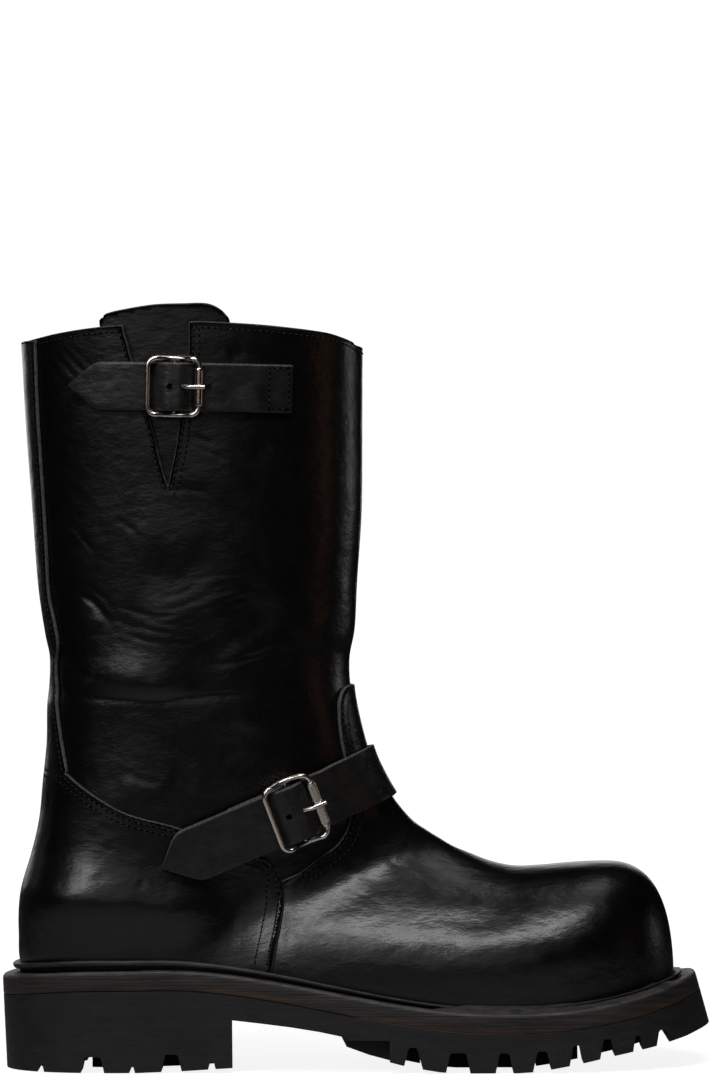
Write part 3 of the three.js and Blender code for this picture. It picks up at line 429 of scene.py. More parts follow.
def locate(points, side):
    """u and w of side-view points on one side, 1 for the outer and -1 for the inner."""
    points = np.asarray(points, float)
    t = np.linspace(0, TOE_ROW, 1601)
    s = sections_at(t)
    edge = np.stack([s.front_x - s.back_x, s.front_z - s.back_z], 1)
    us, ws = [], []
    for x, z in points:
        offset = np.stack([x - s.back_x, z - s.back_z], 1)
        cross = edge[:, 0] * offset[:, 1] - edge[:, 1] * offset[:, 0]
        share = (offset * edge).sum(1) / (edge**2).sum(1)
        change = np.nonzero((np.sign(cross[1:]) != np.sign(cross[:-1])) & (share[1:] > -0.15) & (share[1:] < 1.15))[0]
        k = change[0] if len(change) else int(np.argmin(np.abs(cross)))
        k = min(k, len(t) - 2)
        f = cross[k] / (cross[k] - cross[k + 1]) if cross[k] != cross[k + 1] else 0.0
        row = np.array([mix(t[k], t[k + 1], np.clip(f, 0, 1))])
        section = sections_at(row)
        part = np.clip(mix(share[k], share[k + 1], np.clip(f, 0, 1)), 0, 1)
        middle = section.middle[0]
        if part > middle:
            along = (part - middle) / (1 - middle)
            power = section.front_power[0]
        else:
            along = (part - middle) / middle
            power = section.back_power[0]
        turn = math.acos(np.clip(signed_power(along, power / 2), -1, 1))
        index = row[0] / (TOE_ROW + 1) * (TABLE_ROWS - 1)
        table = mix(WALK_TURNS[side][int(index)], WALK_TURNS[side][min(int(index) + 1, TABLE_ROWS - 1)], index % 1)
        ws.append(side * np.interp(turn, table, np.linspace(0, 1, TABLE_COLUMNS + 1)))
        us.append(np.interp(row[0], WALK_T, WALK_U))
    return np.stack([us, ws], 1)


# Creases: troughs and ridges placed in side view, x and z in millimetres. Side is 1 for
# the outer side, -1 for the inner and 0 for both. Depth is positive for a trough. Above and below
# are how far it spreads to each side of its line, which runs from heel to toe.
Crease = namedtuple("Crease", "side depth above below line")
CREASES = [
    # The full leather of the shaft, hanging over the fold at the ankle.
    Crease(1, -2.7, 17.0, 6.0, [(-142, 188), (-124, 183), (-108, 178.5), (-94, 176), (-82, 176.5), (-68, 180)]),
    Crease(1, -0.8, 26.0, 13.0, [(-104, 186), (-84, 187), (-62, 190), (-36, 197)]),
    Crease(1, -0.5, 7.0, 5.0, [(-112, 186), (-100, 181), (-90, 180)]),
    Crease(1, 0.55, 1.5, 2.0, [(-136, 171), (-112, 169.6), (-90, 168.4), (-72, 170), (-54, 171), (-34, 171.5)]),
    Crease(0, 0.5, 4.0, 4.0, [(-140, 173), (-134, 172), (-126, 171)]),
    # The hollow in front of the bulge, with the bulge's rim.
    Crease(1, 1.7, 11.0, 9.0, [(-74, 186), (-60, 193), (-46, 203), (-30, 214)]),
    Crease(1, -0.9, 14.0, 9.0, [(-100, 200), (-84, 203), (-68, 209), (-54, 218)]),
    # Bundles of fine creases across the bulge.
    Crease(1, 0.3, 1.3, 0.9, [(-109, 212), (-98, 208.4), (-87, 206.2), (-75, 207.6)]),
    Crease(1, 0.3, 1.2, 0.9, [(-97, 206.2), (-84, 203.0), (-73, 205.0), (-62, 210.2)]),
    Crease(1, 0.26, 1.1, 0.8, [(-84, 200.6), (-74, 202.0), (-65, 206.0), (-57, 211.5)]),
    Crease(1, 0.32, 1.4, 1.0, [(-76, 212.8), (-62.5, 216.4), (-50, 218.6), (-32, 219)]),
    Crease(1, 0.28, 1.3, 0.9, [(-69, 217.2), (-58, 220.4), (-45.5, 221.6), (-33, 225)]),
    Crease(1, 0.3, 1.2, 0.9, [(-77, 207), (-64, 210.4), (-50, 214.2), (-40, 217.6)]),
    Crease(1, 0.26, 1.2, 0.9, [(-103, 203), (-88, 199.8), (-75, 197.8), (-66, 199.6)]),
    Crease(1, 0.24, 1.0, 0.8, [(-92, 209.5), (-80, 210.2), (-70, 213.4), (-60, 213.2)]),
    Crease(1, 0.22, 0.9, 0.8, [(-88, 214.2), (-78, 216.6), (-69, 221.6)]),
    Crease(1, 0.22, 0.9, 0.8, [(-104, 199.2), (-94, 195.8), (-84, 194.2)]),
    Crease(1, 0.2, 0.9, 0.8, [(-60, 206.2), (-52, 209.6), (-45, 213.2)]),
    Crease(1, 0.2, 0.9, 0.8, [(-112, 206), (-104, 203.6), (-97, 200)]),
    Crease(1, 0.2, 1.0, 0.8, [(-86, 196.4), (-76, 194), (-66, 195.4), (-58, 200)]),
    Crease(1, 0.18, 0.9, 0.8, [(-74, 222), (-62, 224.6), (-52, 225.4), (-42, 229)]),
    # Curved creases behind the bulge.
    Crease(1, 0.4, 1.5, 1.1, [(-127, 218.2), (-120, 214.6), (-114.6, 208.8), (-109.6, 200.4)]),
    Crease(1, 0.32, 1.3, 1.0, [(-122.4, 216.2), (-116, 212), (-111, 206), (-107.6, 199.6)]),
    Crease(1, 0.24, 1.1, 0.9, [(-119, 219.4), (-112.6, 214.8), (-107.8, 209)]),
    Crease(1, -0.7, 6.0, 5.0, [(-128, 211), (-121, 206), (-115.6, 198.6)]),
    # Short creases towards the front of the ankle.
    Crease(1, 0.34, 1.5, 1.1, [(-69, 184), (-59, 184.6), (-49, 186), (-34, 191)]),
    Crease(1, 0.26, 1.2, 0.9, [(-54, 187), (-43, 188.6), (-32, 192.4)]),
    Crease(1, 0.28, 1.3, 0.9, [(-129, 175.6), (-123.4, 180), (-117.4, 184)]),
    Crease(1, 0.24, 1.2, 0.9, [(-130, 182.6), (-125, 187.2), (-119.6, 194)]),
    Crease(1, 0.2, 1.0, 0.8, [(-124, 172.4), (-118, 176.6), (-113, 181)]),
    # The quarter below the fold.
    Crease(1, -0.7, 10.0, 8.0, [(-92, 152), (-76, 157), (-58, 160), (-36, 160)]),
    Crease(1, 0.6, 4.0, 5.0, [(-84, 135.2), (-77, 133.4), (-70, 134)]),
    Crease(1, -0.8, 7.0, 8.0, [(-108, 131), (-94, 126), (-82, 122)]),
    Crease(1, 0.28, 1.6, 1.2, [(-82, 136.2), (-75.8, 139), (-69, 141.6)]),
    Crease(1, 0.24, 1.5, 1.1, [(-104, 135.8), (-96, 132), (-86.6, 130)]),
    Crease(1, 0.5, 8.0, 8.0, [(-62, 138), (-53, 149), (-46, 158)]),
    # The calf and the collar.
    Crease(1, 0.22, 1.1, 0.9, [(-137, 330), (-130, 321), (-122.6, 312.6)]),
    Crease(1, 0.2, 1.0, 0.8, [(-132.4, 330), (-124.4, 321.4), (-117, 314.8)]),
    Crease(1, 0.18, 0.9, 0.8, [(-127.6, 330.4), (-120.2, 323), (-114, 318)]),
    Crease(1, 0.2, 1.0, 0.8, [(-141, 327), (-135, 319), (-129, 311)]),
    Crease(1, 0.2, 1.1, 0.9, [(-74.4, 288.4), (-67, 286.4), (-60, 284.4)]),
    Crease(1, 0.2, 1.1, 0.9, [(-69, 282.6), (-62, 279.6), (-54, 276)]),
    Crease(1, 0.22, 1.4, 1.0, [(-87, 262.4), (-74.6, 264), (-61, 260.4)]),
    Crease(1, 0.26, 1.3, 1.0, [(-108, 251.2), (-102, 247.8), (-96, 243.4)]),
    Crease(1, 0.28, 1.2, 0.9, [(-127, 247.6), (-121.8, 241.6), (-117, 235.4)]),
    Crease(1, 0.4, 3.6, 3.2, [(-55.6, 323.4), (-51, 325.2), (-46.6, 326.4)]),
    Crease(1, 0.4, 3.8, 3.4, [(-44.6, 281.2), (-40, 282), (-35.6, 283.6)]),
    Crease(1, -0.8, 12.0, 10.0, [(-102, 246), (-84, 240), (-66, 232)]),
    Crease(1, 0.6, 13.0, 12.0, [(-98, 229), (-78, 225), (-58, 233)]),
    Crease(1, -0.5, 12.0, 10.0, [(-82, 273), (-62, 268), (-44, 270)]),
    # The heel's counter: a bulge with its crest low down, and a dent.
    Crease(1, -6.2, 13.5, 17.0, [(-158, 78), (-140, 78), (-116, 77), (-92, 75), (-70, 71), (-52, 68)]),
    Crease(1, 0.35, 2.4, 2.0, [(-99, 86.2), (-96.6, 85.2), (-94, 85.4)]),
    Crease(1, 0.22, 4.0, 3.6, [(-118, 92), (-112, 85), (-104, 80)]),
    Crease(1, -0.25, 5.0, 4.0, [(-112, 100), (-102, 97), (-92, 92)]),
    # The vamp.
    Crease(0, -1.8, 12.0, 14.0, [(-48, 60), (-10, 55), (40, 51.5), (90, 53), (136, 58)]),
    Crease(1, 0.3, 5.0, 5.0, [(34, 67), (51, 65.6), (68, 67.4), (85, 72)]),
    Crease(1, -0.3, 5.0, 5.0, [(24, 76), (42, 74), (62, 76.6), (82, 82)]),
    Crease(1, 0.2, 2.6, 2.0, [(-8, 92), (4, 86), (18, 82)]),
    Crease(1, 0.2, 2.4, 2.0, [(10, 96), (22, 89), (36, 86)]),
    # The inner side, creased alike where the ankle bends.
    Crease(-1, -2.1, 26.0, 7.0, [(-130, 183), (-110, 183), (-88, 181), (-66, 184), (-48, 187), (-33, 188)]),
    Crease(-1, 0.5, 1.5, 2.0, [(-134, 173), (-110, 171.6), (-90, 170), (-72, 172.5), (-52, 174), (-33, 174)]),
    Crease(-1, 1.4, 10.0, 9.0, [(-68, 190), (-54, 198), (-40, 210)]),
    Crease(-1, 0.3, 1.4, 1.0, [(-106, 212), (-92, 208), (-78, 209), (-64, 214)]),
    Crease(-1, 0.28, 1.3, 1.0, [(-98, 205), (-84, 202), (-70, 205), (-58, 211)]),
    Crease(-1, 0.26, 1.3, 1.0, [(-86, 216), (-70, 219), (-56, 218)]),
    Crease(-1, 0.26, 1.2, 0.9, [(-92, 196), (-78, 197), (-66, 201)]),
    Crease(-1, 0.34, 1.6, 1.2, [(-124, 216), (-117, 210), (-111, 202)]),
    Crease(-1, 0.28, 1.3, 1.0, [(-120, 219), (-112, 213), (-107, 206)]),
    Crease(-1, 0.6, 4.6, 4.6, [(-84, 138), (-76, 136), (-68, 138)]),
    Crease(-1, -0.7, 7.0, 7.0, [(-104, 132), (-92, 128), (-80, 126)]),
    Crease(-1, 0.22, 1.3, 1.0, [(-90, 262), (-76, 258), (-62, 260)]),
    Crease(-1, 0.6, 13.0, 12.0, [(-100, 240), (-80, 232), (-60, 238)]),
    Crease(-1, -4.2, 12.0, 17.0, [(-156, 80), (-140, 80), (-116, 79), (-92, 77), (-66, 73), (-38, 69)]),
    Crease(-1, 0.3, 5.0, 5.0, [(30, 68), (50, 66), (70, 69)]),
]
CREASE_FADE = 0.3


def crease_lift(point):
    """How far the leather stands out from the plain form at each point, below zero in a trough."""
    lift = np.zeros(len(point))
    flat = point[:, [0, 2]]
    outer = smooth_step((LINE_Y + 4 - point[:, 1]) / 8)
    for crease in CREASES:
        line = curved(crease.line, 6)
        reach = 3 * max(crease.above, crease.below)
        near = ((flat > line.min(0) - reach) & (flat < line.max(0) + reach)).all(1)
        if not near.any():
            continue
        p = flat[near]
        length = np.concatenate([[0], np.cumsum(np.linalg.norm(np.diff(line, axis=0), axis=1))])
        best = np.full(len(p), 1e9)
        where = np.zeros(len(p))
        over = np.zeros(len(p), bool)
        for k in range(len(line) - 1):
            a, d = line[k], line[k + 1] - line[k]
            f = np.clip(((p - a) @ d) / (d @ d), 0, 1)
            away = np.linalg.norm(p - a - f[:, None] * d, axis=1)
            where = np.where(away < best, mix(length[k], length[k + 1], f), where)
            over = np.where(away < best, d[0] * (p[:, 1] - a[1]) > d[1] * (p[:, 0] - a[0]), over)
            best = np.minimum(away, best)
        share = where / length[-1]
        fade = smooth_step(share / CREASE_FADE) * smooth_step((1 - share) / CREASE_FADE)
        weight = {0: 1.0, 1: outer[near], -1: 1 - outer[near]}[crease.side]
        width = np.where(over, crease.above, crease.below)
        lift[near] -= crease.depth * np.exp(-((best / width) ** 2)) * fade * weight
    return lift


def skin(u, w, lift=0.0):
    """Points at a height over the creased leather, with the plain form's normals."""
    point, normal = surface(u, w)
    out = crease_lift(point) + lift
    return point + normal * out[:, None], normal


# Meshes.
def finish_piece(name, mesh, replaces=()):
    """An object for the mesh, riding on the boot."""
    piece = bpy.data.objects.new(name, mesh)
    bpy.context.scene.collection.objects.link(piece)
    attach(piece, "root")
    if replaces:
        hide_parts(*replaces)
    return piece


def new_mesh(name, points, faces, materials=(), face_slots=None, smooth=True):
    """A mesh from millimetre points. Faces are arrays of triangles or quads."""
    faces = [np.asarray(block) for block in (faces if isinstance(faces, list) else [faces]) if len(block)]
    sizes = np.concatenate([np.full(len(block), block.shape[1]) for block in faces])
    corners = np.concatenate([block.ravel() for block in faces]).astype(np.int32)
    mesh = bpy.data.meshes.new(name)
    mesh.vertices.add(len(points))
    mesh.vertices.foreach_set("co", (np.asarray(points, float) / 1000).astype(np.float32).ravel())
    mesh.loops.add(len(corners))
    mesh.loops.foreach_set("vertex_index", corners)
    mesh.polygons.add(len(sizes))
    mesh.polygons.foreach_set("loop_start", np.concatenate([[0], np.cumsum(sizes)[:-1]]).astype(np.int32))
    for material in materials:
        mesh.materials.append(material)
    if face_slots is not None:
        mesh.polygons.foreach_set("material_index", np.asarray(face_slots, np.int32))
    mesh.update(calc_edges=True)
    mesh.validate()
    mesh.polygons.foreach_set("use_smooth", np.full(len(mesh.polygons), smooth))
    return mesh


def tree_of(points, faces):
    return BVHTree.FromPolygons([Vector(p) for p in points], [list(map(int, f)) for f in faces])


def inside_polygon(points, polygon):
    inside = np.zeros(len(points), bool)
    x, y = points[:, 0], points[:, 1]
    for a, b in zip(polygon, np.roll(polygon, -1, 0)):
        if a[1] != b[1]:
            crossing = (a[1] > y) != (b[1] > y)
            inside ^= crossing & (x < (b[0] - a[0]) * (y - a[1]) / (b[1] - a[1]) + a[0])
    return inside


def far_from(points, polygon, reach):
    """Which points lie at least reach away from the closed polygon."""
    far = np.ones(len(points), bool)
    for a, b in zip(polygon, np.roll(polygon, -1, 0)):
        low, high = np.minimum(a, b) - reach, np.maximum(a, b) + reach
        near = np.nonzero(((points > low) & (points < high)).all(1))[0]
        p, d = points[near] - a, b - a
        f = np.clip((p @ d) / (d @ d + 1e-12), 0, 1)
        far[near] &= np.linalg.norm(p - f[:, None] * d, axis=1) > reach
    return far


def fill(plane, spacing):
    """Points, triangles and rim of a closed outline in a plane, filled with an even grid."""
    low, high = plane.min(0), plane.max(0)
    across = np.arange(low[0] + spacing / 2, high[0], spacing * 0.87)
    along = np.arange(low[1], high[1], spacing)
    grid = np.stack(np.meshgrid(across, along, indexing="ij"), -1)
    grid[1::2, :, 1] += spacing / 2
    grid = grid.reshape(-1, 2)
    grid = grid[inside_polygon(grid, plane)]
    grid = grid[far_from(grid, plane, 0.5 * spacing)]
    every = np.vstack([plane, grid])
    loop = list(range(len(plane)))
    points, _, faces, origins, _, _ = delaunay_2d_cdt([Vector(p) for p in every], [], [loop], 1, 1e-6)
    place = {old: new for new, olds in enumerate(origins) for old in olds}
    points = np.array([[p.x, p.y] for p in points])
    return points, np.array(faces), np.array([place[k] for k in loop])


def area_of(plane):
    following = np.roll(plane, -1, 0)
    return 0.5 * np.sum(plane[:, 0] * following[:, 1] - following[:, 0] * plane[:, 1])


# A panel's cut edge: how far out and down each ring of it lies.
EdgeRing = namedtuple("EdgeRing", "out down")
ROUND_EDGE = [EdgeRing(0.14, 0.04), EdgeRing(0.26, 0.16)]


def cut_edge(thickness):
    return ROUND_EDGE + [EdgeRing(0.4, 0.45), EdgeRing(0.65, thickness - 0.1), EdgeRing(0.4, thickness)]


def drape(outline, lift, spacing, rings=(), lift_at=None, flip=False):
    """A panel over the form inside an outline of u and w, with rings down its cut edge.
    Gives points, a list of face blocks and a slot for each face (1 on the cut edge)."""
    scale = np.array([1, GIRTH])
    plane = outline * scale
    if area_of(plane) < 0:
        plane = plane[::-1]
    flat, faces, rim = fill(plane, spacing)
    flat = flat / scale
    height = np.full(len(flat), float(lift))
    if lift_at is not None:
        height += lift_at(flat)
    point, normal = skin(flat[:, 0], flat[:, 1], height)
    faces = faces[:, ::-1] if not flip else faces
    edge, edge_normal = point[rim], normal[rim]
    ahead = unit(np.roll(edge, -1, 0) - np.roll(edge, 1, 0))
    out = unit(np.cross(edge_normal, ahead))
    points, blocks, slots = [point], [faces], [np.zeros(len(faces), int)]
    before, base, count = rim, len(point), len(rim)
    following = np.roll(np.arange(count), -1)
    for k, ring in enumerate(rings):
        points.append(edge + out * ring.out - edge_normal * ring.down)
        now = base + np.arange(count)
        base += count
        blocks.append(np.stack([before, now, now[following], before[following]], 1))
        slots.append(np.full(count, 1 if k else 0))
        before = now
    return np.vstack(points), blocks, np.concatenate(slots)


# Outlines on the form, as rows of u and w.
def feather_side(side, drop, spacing=1.5):
    """Where one side of the form crosses a line that far below the feather, from heel to toe."""
    def below(s, turn):
        p = section_points(s, turn)
        return p[..., 2] - (feather_z(p[..., 0]) - drop)

    t = np.linspace(12.5, TOE_ROW + 1, 2000)
    s = sections_at(t)
    at_back = below(s, np.full(len(t), math.pi))
    k = int(np.argmax(at_back < 0))
    start = mix(t[k - 1], t[k], at_back[k - 1] / (at_back[k - 1] - at_back[k]))
    at_front = below(s, np.zeros(len(t)))
    k = int(np.argmax((at_front < 0) & (t > TOE_ROW)))
    end = mix(t[k - 1], t[k], at_front[k - 1] / (at_front[k - 1] - at_front[k]))

    ease = (1 - np.cos(np.linspace(0, math.pi, 900))) / 2
    t = mix(start, end, ease)[1:-1]
    w = np.linspace(1, 0, 241)
    turn = turn_at(np.repeat(t[:, None], len(w), 1), side * np.repeat(w[None, :], len(t), 0))
    over = below(repeat_sections(sections_at(t), len(w)), turn)
    k = np.argmax(over > 0, axis=1)
    rows = np.arange(len(t))
    f = over[rows, k - 1] / (over[rows, k - 1] - over[rows, k])
    crossing = mix(w[k - 1], w[k], f)
    u = np.interp(np.concatenate([[start], t, [end]]), WALK_T, WALK_U)
    w = side * np.concatenate([[1], crossing, [0]])
    point, _ = surface(u, w)
    return even_on_form(np.stack([u, w], 1), point, spacing)


def even_on_form(line, point, spacing):
    length = np.concatenate([[0], np.cumsum(np.linalg.norm(np.diff(point, axis=0), axis=1))])
    at = np.linspace(0, length[-1], max(2, int(round(length[-1] / spacing)) + 1))
    return np.stack([np.interp(at, length, line[:, 0]), np.interp(at, length, line[:, 1])], 1)


def even(line, spacing=1.5):
    return even_on_form(line, surface(line[:, 0], line[:, 1])[0], spacing)


def level_line(table, w):
    """For each w, the u at which the form passes the height of a side-view line over x."""
    line = curved(side_points(table))
    low, high = np.zeros(len(w)), np.full(len(w), np.interp(6, WALK_T, WALK_U))
    for _ in range(40):
        middle = (low + high) / 2
        p, _ = surface(middle, w)
        above = p[:, 2] > np.interp(p[:, 0], line[:, 0], line[:, 1])
        low, high = np.where(above, middle, low), np.where(above, high, middle)
    return np.stack([(low + high) / 2, w], 1)


def u_at_height(z, w):
    """The u at which the line of share w passes height z."""
    low, high = 0.0, float(np.interp(TOE_ROW, WALK_T, WALK_U))
    for _ in range(40):
        middle = (low + high) / 2
        p, _ = surface(np.array([middle]), np.array([w]))
        low, high = (middle, high) if p[0, 2] > z else (low, middle)
    return (low + high) / 2


def beyond_back(line):
    """The inner side's line, with w counted on past the back."""
    return np.where(line[:, 1:] < 0, np.array([[0, 2.0]]), 0) + line


WELT_DROP = 1.8
FEATHER = {side: feather_side(side, WELT_DROP) for side in (1, -1)}


def feather_part(side, from_x, to_x):
    line = FEATHER[side]
    x = surface(line[:, 0], line[:, 1])[0][:, 0]
    return line[(x > from_x) & (x < to_x)]


def collar_outline():
    return even(level_line(COLLAR_LINE, np.linspace(-1, 1, 500)))


def notch_line():
    """The V cut's sides on the outer side, from the collar down and up again."""
    line = resample(curved(side_points(NOTCH_OUTLINE)), 1.2)
    return locate(line, 1)


def notch_below(collar):
    """The part of the V cut's line that lies below the collar."""
    notch = notch_line()
    return notch[notch[:, 0] > np.interp(notch[:, 1], collar[:, 1], collar[:, 0])]


def collar_and_notch():
    """The upper's top edge from the inner back to the outer back, with the V cut in it."""
    collar = collar_outline()
    notch = notch_below(collar)
    before, after = collar[:, 1] < notch[-1, 1], collar[:, 1] > notch[0, 1]
    return np.vstack([collar[before], notch[::-1], collar[after]])


def shaft_outline():
    """The shaft and quarters, from the collar down to a line hidden under the vamp."""
    collar = collar_and_notch()
    hidden_u = float(np.interp(17.6, WALK_T, WALK_U))
    foot = {side: FEATHER[side][FEATHER[side][:, 0] < hidden_u] for side in (1, -1)}
    across = np.stack([np.full(120, hidden_u), np.linspace(foot[-1][-1, 1], foot[1][-1, 1], 120)], 1)[1:-1]
    down = {
        side: even(np.array([[collar[0, 0], side], [foot[side][0, 0], side]], float))[1:-1]
        for side in (1, -1)
    }
    return np.vstack([
        collar, down[1], foot[1], across[::-1], foot[-1][::-1], down[-1][::-1],
    ])


def lining_outline():
    collar = collar_and_notch()
    down = {
        side: even(np.array([[collar[0, 0], side], [FEATHER[side][0, 0], side]], float), 4)[1:-1]
        for side in (1, -1)
    }
    return np.vstack([collar, down[1], FEATHER[1], FEATHER[-1][::-1][1:], down[-1][::-1]])


def mirrored_edge(table):
    """A side-view edge on the outer and the inner side."""
    line = resample(curved(side_points(table)), 1.5)
    return {side: locate(line, side) for side in (1, -1)}


def counter_outline():
    edges = mirrored_edge(COUNTER_EDGE)
    corner_x = side_points(COUNTER_EDGE)[-1, 0]
    top = np.array([[u_at_height(side_points(COUNTER_EDGE)[0, 1], 1.0), 1.0]])
    outer = edges[1][edges[1][:, 1] < 0.985]
    inner = beyond_back(edges[-1])
    inner = inner[inner[:, 1] > 1.015]
    feather = {side: feather_part(side, -1e9, corner_x) for side in (1, -1)}
    return np.vstack([
        top, outer, feather[1][::-1], beyond_back(feather[-1])[1:], inner[::-1],
    ])


def vamp_outline():
    """The vamp, whose rear edge runs on under the counter's front."""
    edges = mirrored_edge(VAMP_EDGE)
    under = 5.0
    rear_x = side_points(COUNTER_EDGE)[-1, 0] - under
    front_edge = side_points(COUNTER_EDGE)[COUNTER_CORNER:][::-1] - [under, 0]
    sides = {}
    for side in (1, -1):
        rear = locate(resample(curved(front_edge), 1.5), side)
        feather = feather_part(side, rear_x, 1e9)
        sides[side] = np.vstack([feather[::-1], rear, edges[side]])
    top_z = side_points(VAMP_EDGE)[-1, 1]
    top = np.array([[u_at_height(top_z, 0.0), 0.0]])
    outer = sides[1][sides[1][:, 1] > 0.012]
    inner = sides[-1][sides[-1][:, 1] < -0.012]
    toe = FEATHER[1][-1:]
    return np.vstack([toe, outer, top, inner[::-1]])


def backstay_outline():
    edges = mirrored_edge(BACKSTAY_EDGE)
    counter = mirrored_edge(COUNTER_EDGE)
    collar = collar_outline()
    collar_u = float(collar[0, 0])
    outer = edges[1]
    inner = beyond_back(edges[-1])
    lap = 3.0
    bottom_w = np.linspace(outer[-1, 1], inner[-1, 1], 40)[1:-1]
    counter_line = np.vstack([counter[1][::-1], beyond_back(counter[-1])])
    counter_line = counter_line[np.argsort(counter_line[:, 1])]
    bottom_u = np.interp(bottom_w, counter_line[:, 1], counter_line[:, 0]) + lap
    top_w = np.linspace(inner[0, 1], outer[0, 1], 20)
    top = np.stack([np.full(20, collar_u), top_w], 1)
    outer = outer[outer[:, 0] > collar_u + 0.5]
    inner = inner[inner[:, 0] > collar_u + 0.5]
    return np.vstack([outer, np.stack([bottom_u, bottom_w], 1), inner[::-1], top])


def gusset_outline():
    loop = resample(curved(side_points(GUSSET_OUTLINE + GUSSET_OUTLINE[:1])), 1.2, closed=False)
    return locate(loop[:-1], 1)


# Solids for the sole, cut and joined by Blender's booleans.
def solid(name, points, faces):
    mesh = bpy.data.meshes.new(name)
    mesh.from_pydata((np.asarray(points, float) / 1000).tolist(), [], faces)
    shell = bmesh.new()
    shell.from_mesh(mesh)
    bmesh.ops.recalc_face_normals(shell, faces=shell.faces)
    shell.to_mesh(mesh)
    shell.free()
    return mesh


def boolean(body, other, operation):
    """The mesh of body cut, joined or crossed with other. Both inputs are used up."""
    first = bpy.data.objects.new("body", body)
    second = bpy.data.objects.new("tool", other)
    for one in (first, second):
        bpy.context.scene.collection.objects.link(one)
    step = first.modifiers.new("step", "BOOLEAN")
    step.operation = operation
    step.solver = "MANIFOLD"
    step.object = second
    graph = bpy.context.evaluated_depsgraph_get()
    made = bpy.data.meshes.new_from_object(first.evaluated_get(graph))
    for one in (first, second):
        bpy.data.objects.remove(one)
    return made


REACH = 260.0


def prism(outline, from_y=-REACH, to_y=REACH, skew=0.0):
    """A solid across the boot from a side-view outline, moved back by skew as it goes inwards."""
    outline = np.asarray(outline, float)
    count = len(outline)
    ends = []
    for y in (from_y, to_y):
        x = outline[:, 0] - skew * (y + BALL_WIDTH / 2)
        ends.append(np.stack([x, np.full(count, y), outline[:, 1]], 1))
    sides = [[k, (k + 1) % count, count + (k + 1) % count, count + k] for k in range(count)]
    caps = [list(range(count)), list(range(count, 2 * count))]
    return solid("prism", np.vstack(ends), sides + caps)


def footprint():
    outer = FEATHER_LINE[1]
    inner = FEATHER_LINE[-1][::-1][1:-1]
    line = np.vstack([outer, inner])
    return resample(surface(line[:, 0], line[:, 1])[0][:, :2], 1.8, closed=True)


FEATHER_LINE = {side: feather_side(side, 0.0, 1.0) for side in (1, -1)}
FOOTPRINT = footprint()


def toe_share(x):
    return smooth_step(((x - HEEL_BACK_X) / LAST_LENGTH - 0.72) / 0.28)


def heel_share(x):
    return smooth_step((0.18 - (x - HEEL_BACK_X) / LAST_LENGTH) / 0.16)


def ledge(x, toe, heel):
    return SIDE_LEDGE + toe_share(x) * (toe - SIDE_LEDGE) + heel_share(x) * (heel - SIDE_LEDGE)


def outline_offset(toe, heel, inset):
    ahead = unit(np.roll(FOOTPRINT, -1, 0) - np.roll(FOOTPRINT, 1, 0))
    out = np.stack([ahead[:, 1], -ahead[:, 0]], 1) * np.sign(area_of(FOOTPRINT))
    return FOOTPRINT + out * (ledge(FOOTPRINT[:, 0], toe, heel) - inset)[:, None]


def side_ring(height_at, inset):
    """The sole's outline where its side reaches a height, a function of x."""
    low = outline_offset(TOE_LEDGE_BOTTOM, HEEL_LEDGE_BOTTOM, inset)
    high = outline_offset(TOE_LEDGE_TOP, HEEL_LEDGE_TOP, inset)
    z = np.full(len(low), 25.0)
    for _ in range(4):
        plan = low + (high - low) * (z / LEDGE_TOP_HEIGHT)[:, None]
        z = height_at(plan[:, 0])
    return np.column_stack([plan, z])


def rings_solid(name, rings):
    count = len(rings[0])
    following = (np.arange(count) + 1) % count
    faces = []
    for k in range(len(rings) - 1):
        a = k * count + np.arange(count)
        b = k * count + following
        faces += np.stack([a, b, b + count, a + count], 1).tolist()
    faces.append(list(range(count)))
    faces.append(list(range((len(rings) - 1) * count, len(rings) * count)))
    return solid(name, np.vstack(rings), faces)


def level(z):
    return lambda x: np.full(len(x), float(z))


def sole_side(inset):
    return rings_solid("side", [side_ring(level(0), inset), side_ring(level(LEDGE_TOP_HEIGHT), inset)])


def welt_rise(x):
    share = smooth_step((x - along_x(0.1)) / (0.6 * LAST_LENGTH))
    return mix(WELT_HEEL_RISE, WELT_TOE_RISE, share)


def midsole_top(x):
    return feather_z(x) - welt_rise(x)


def midsole_bottom(x):
    return midsole_top(x) - MIDSOLE


def outsole_top(x):
    return midsole_bottom(x) - GAP


HEEL_POINTS = [(along_x(s), rise * ARCH_RISE) for s, rise in HEEL_TREAD]
ARCH_POINTS = [(along_x(s), rise * ARCH_RISE) for s, rise in ARCH_LINE]
FOREFOOT_POINTS = [(along_x(s), rise * TIP_RISE) for s, rise in FOREFOOT_TREAD]
TREAD_POINTS = HEEL_POINTS + FOREFOOT_POINTS


def tread_z(x):
    return float(np.interp(x, [p[0] for p in TREAD_POINTS], [p[1] for p in TREAD_POINTS]))


def lug_gap(gap):
    x = along_x(gap.along)
    low = tread_z(x)
    high = low + gap.depth * LUG_DEPTH
    deep = 12.0
    spread = (gap.bottom - gap.top) / 2 / (high - low) * deep
    rounded = min(0.8, gap.top / 3)
    return prism([
        (x - gap.bottom / 2 - spread, low - deep), (x + gap.bottom / 2 + spread, low - deep),
        (x + gap.top / 2, high - rounded), (x + gap.top / 2 - rounded, high),
        (x - gap.top / 2 + rounded, high), (x - gap.top / 2, high - rounded),
    ])


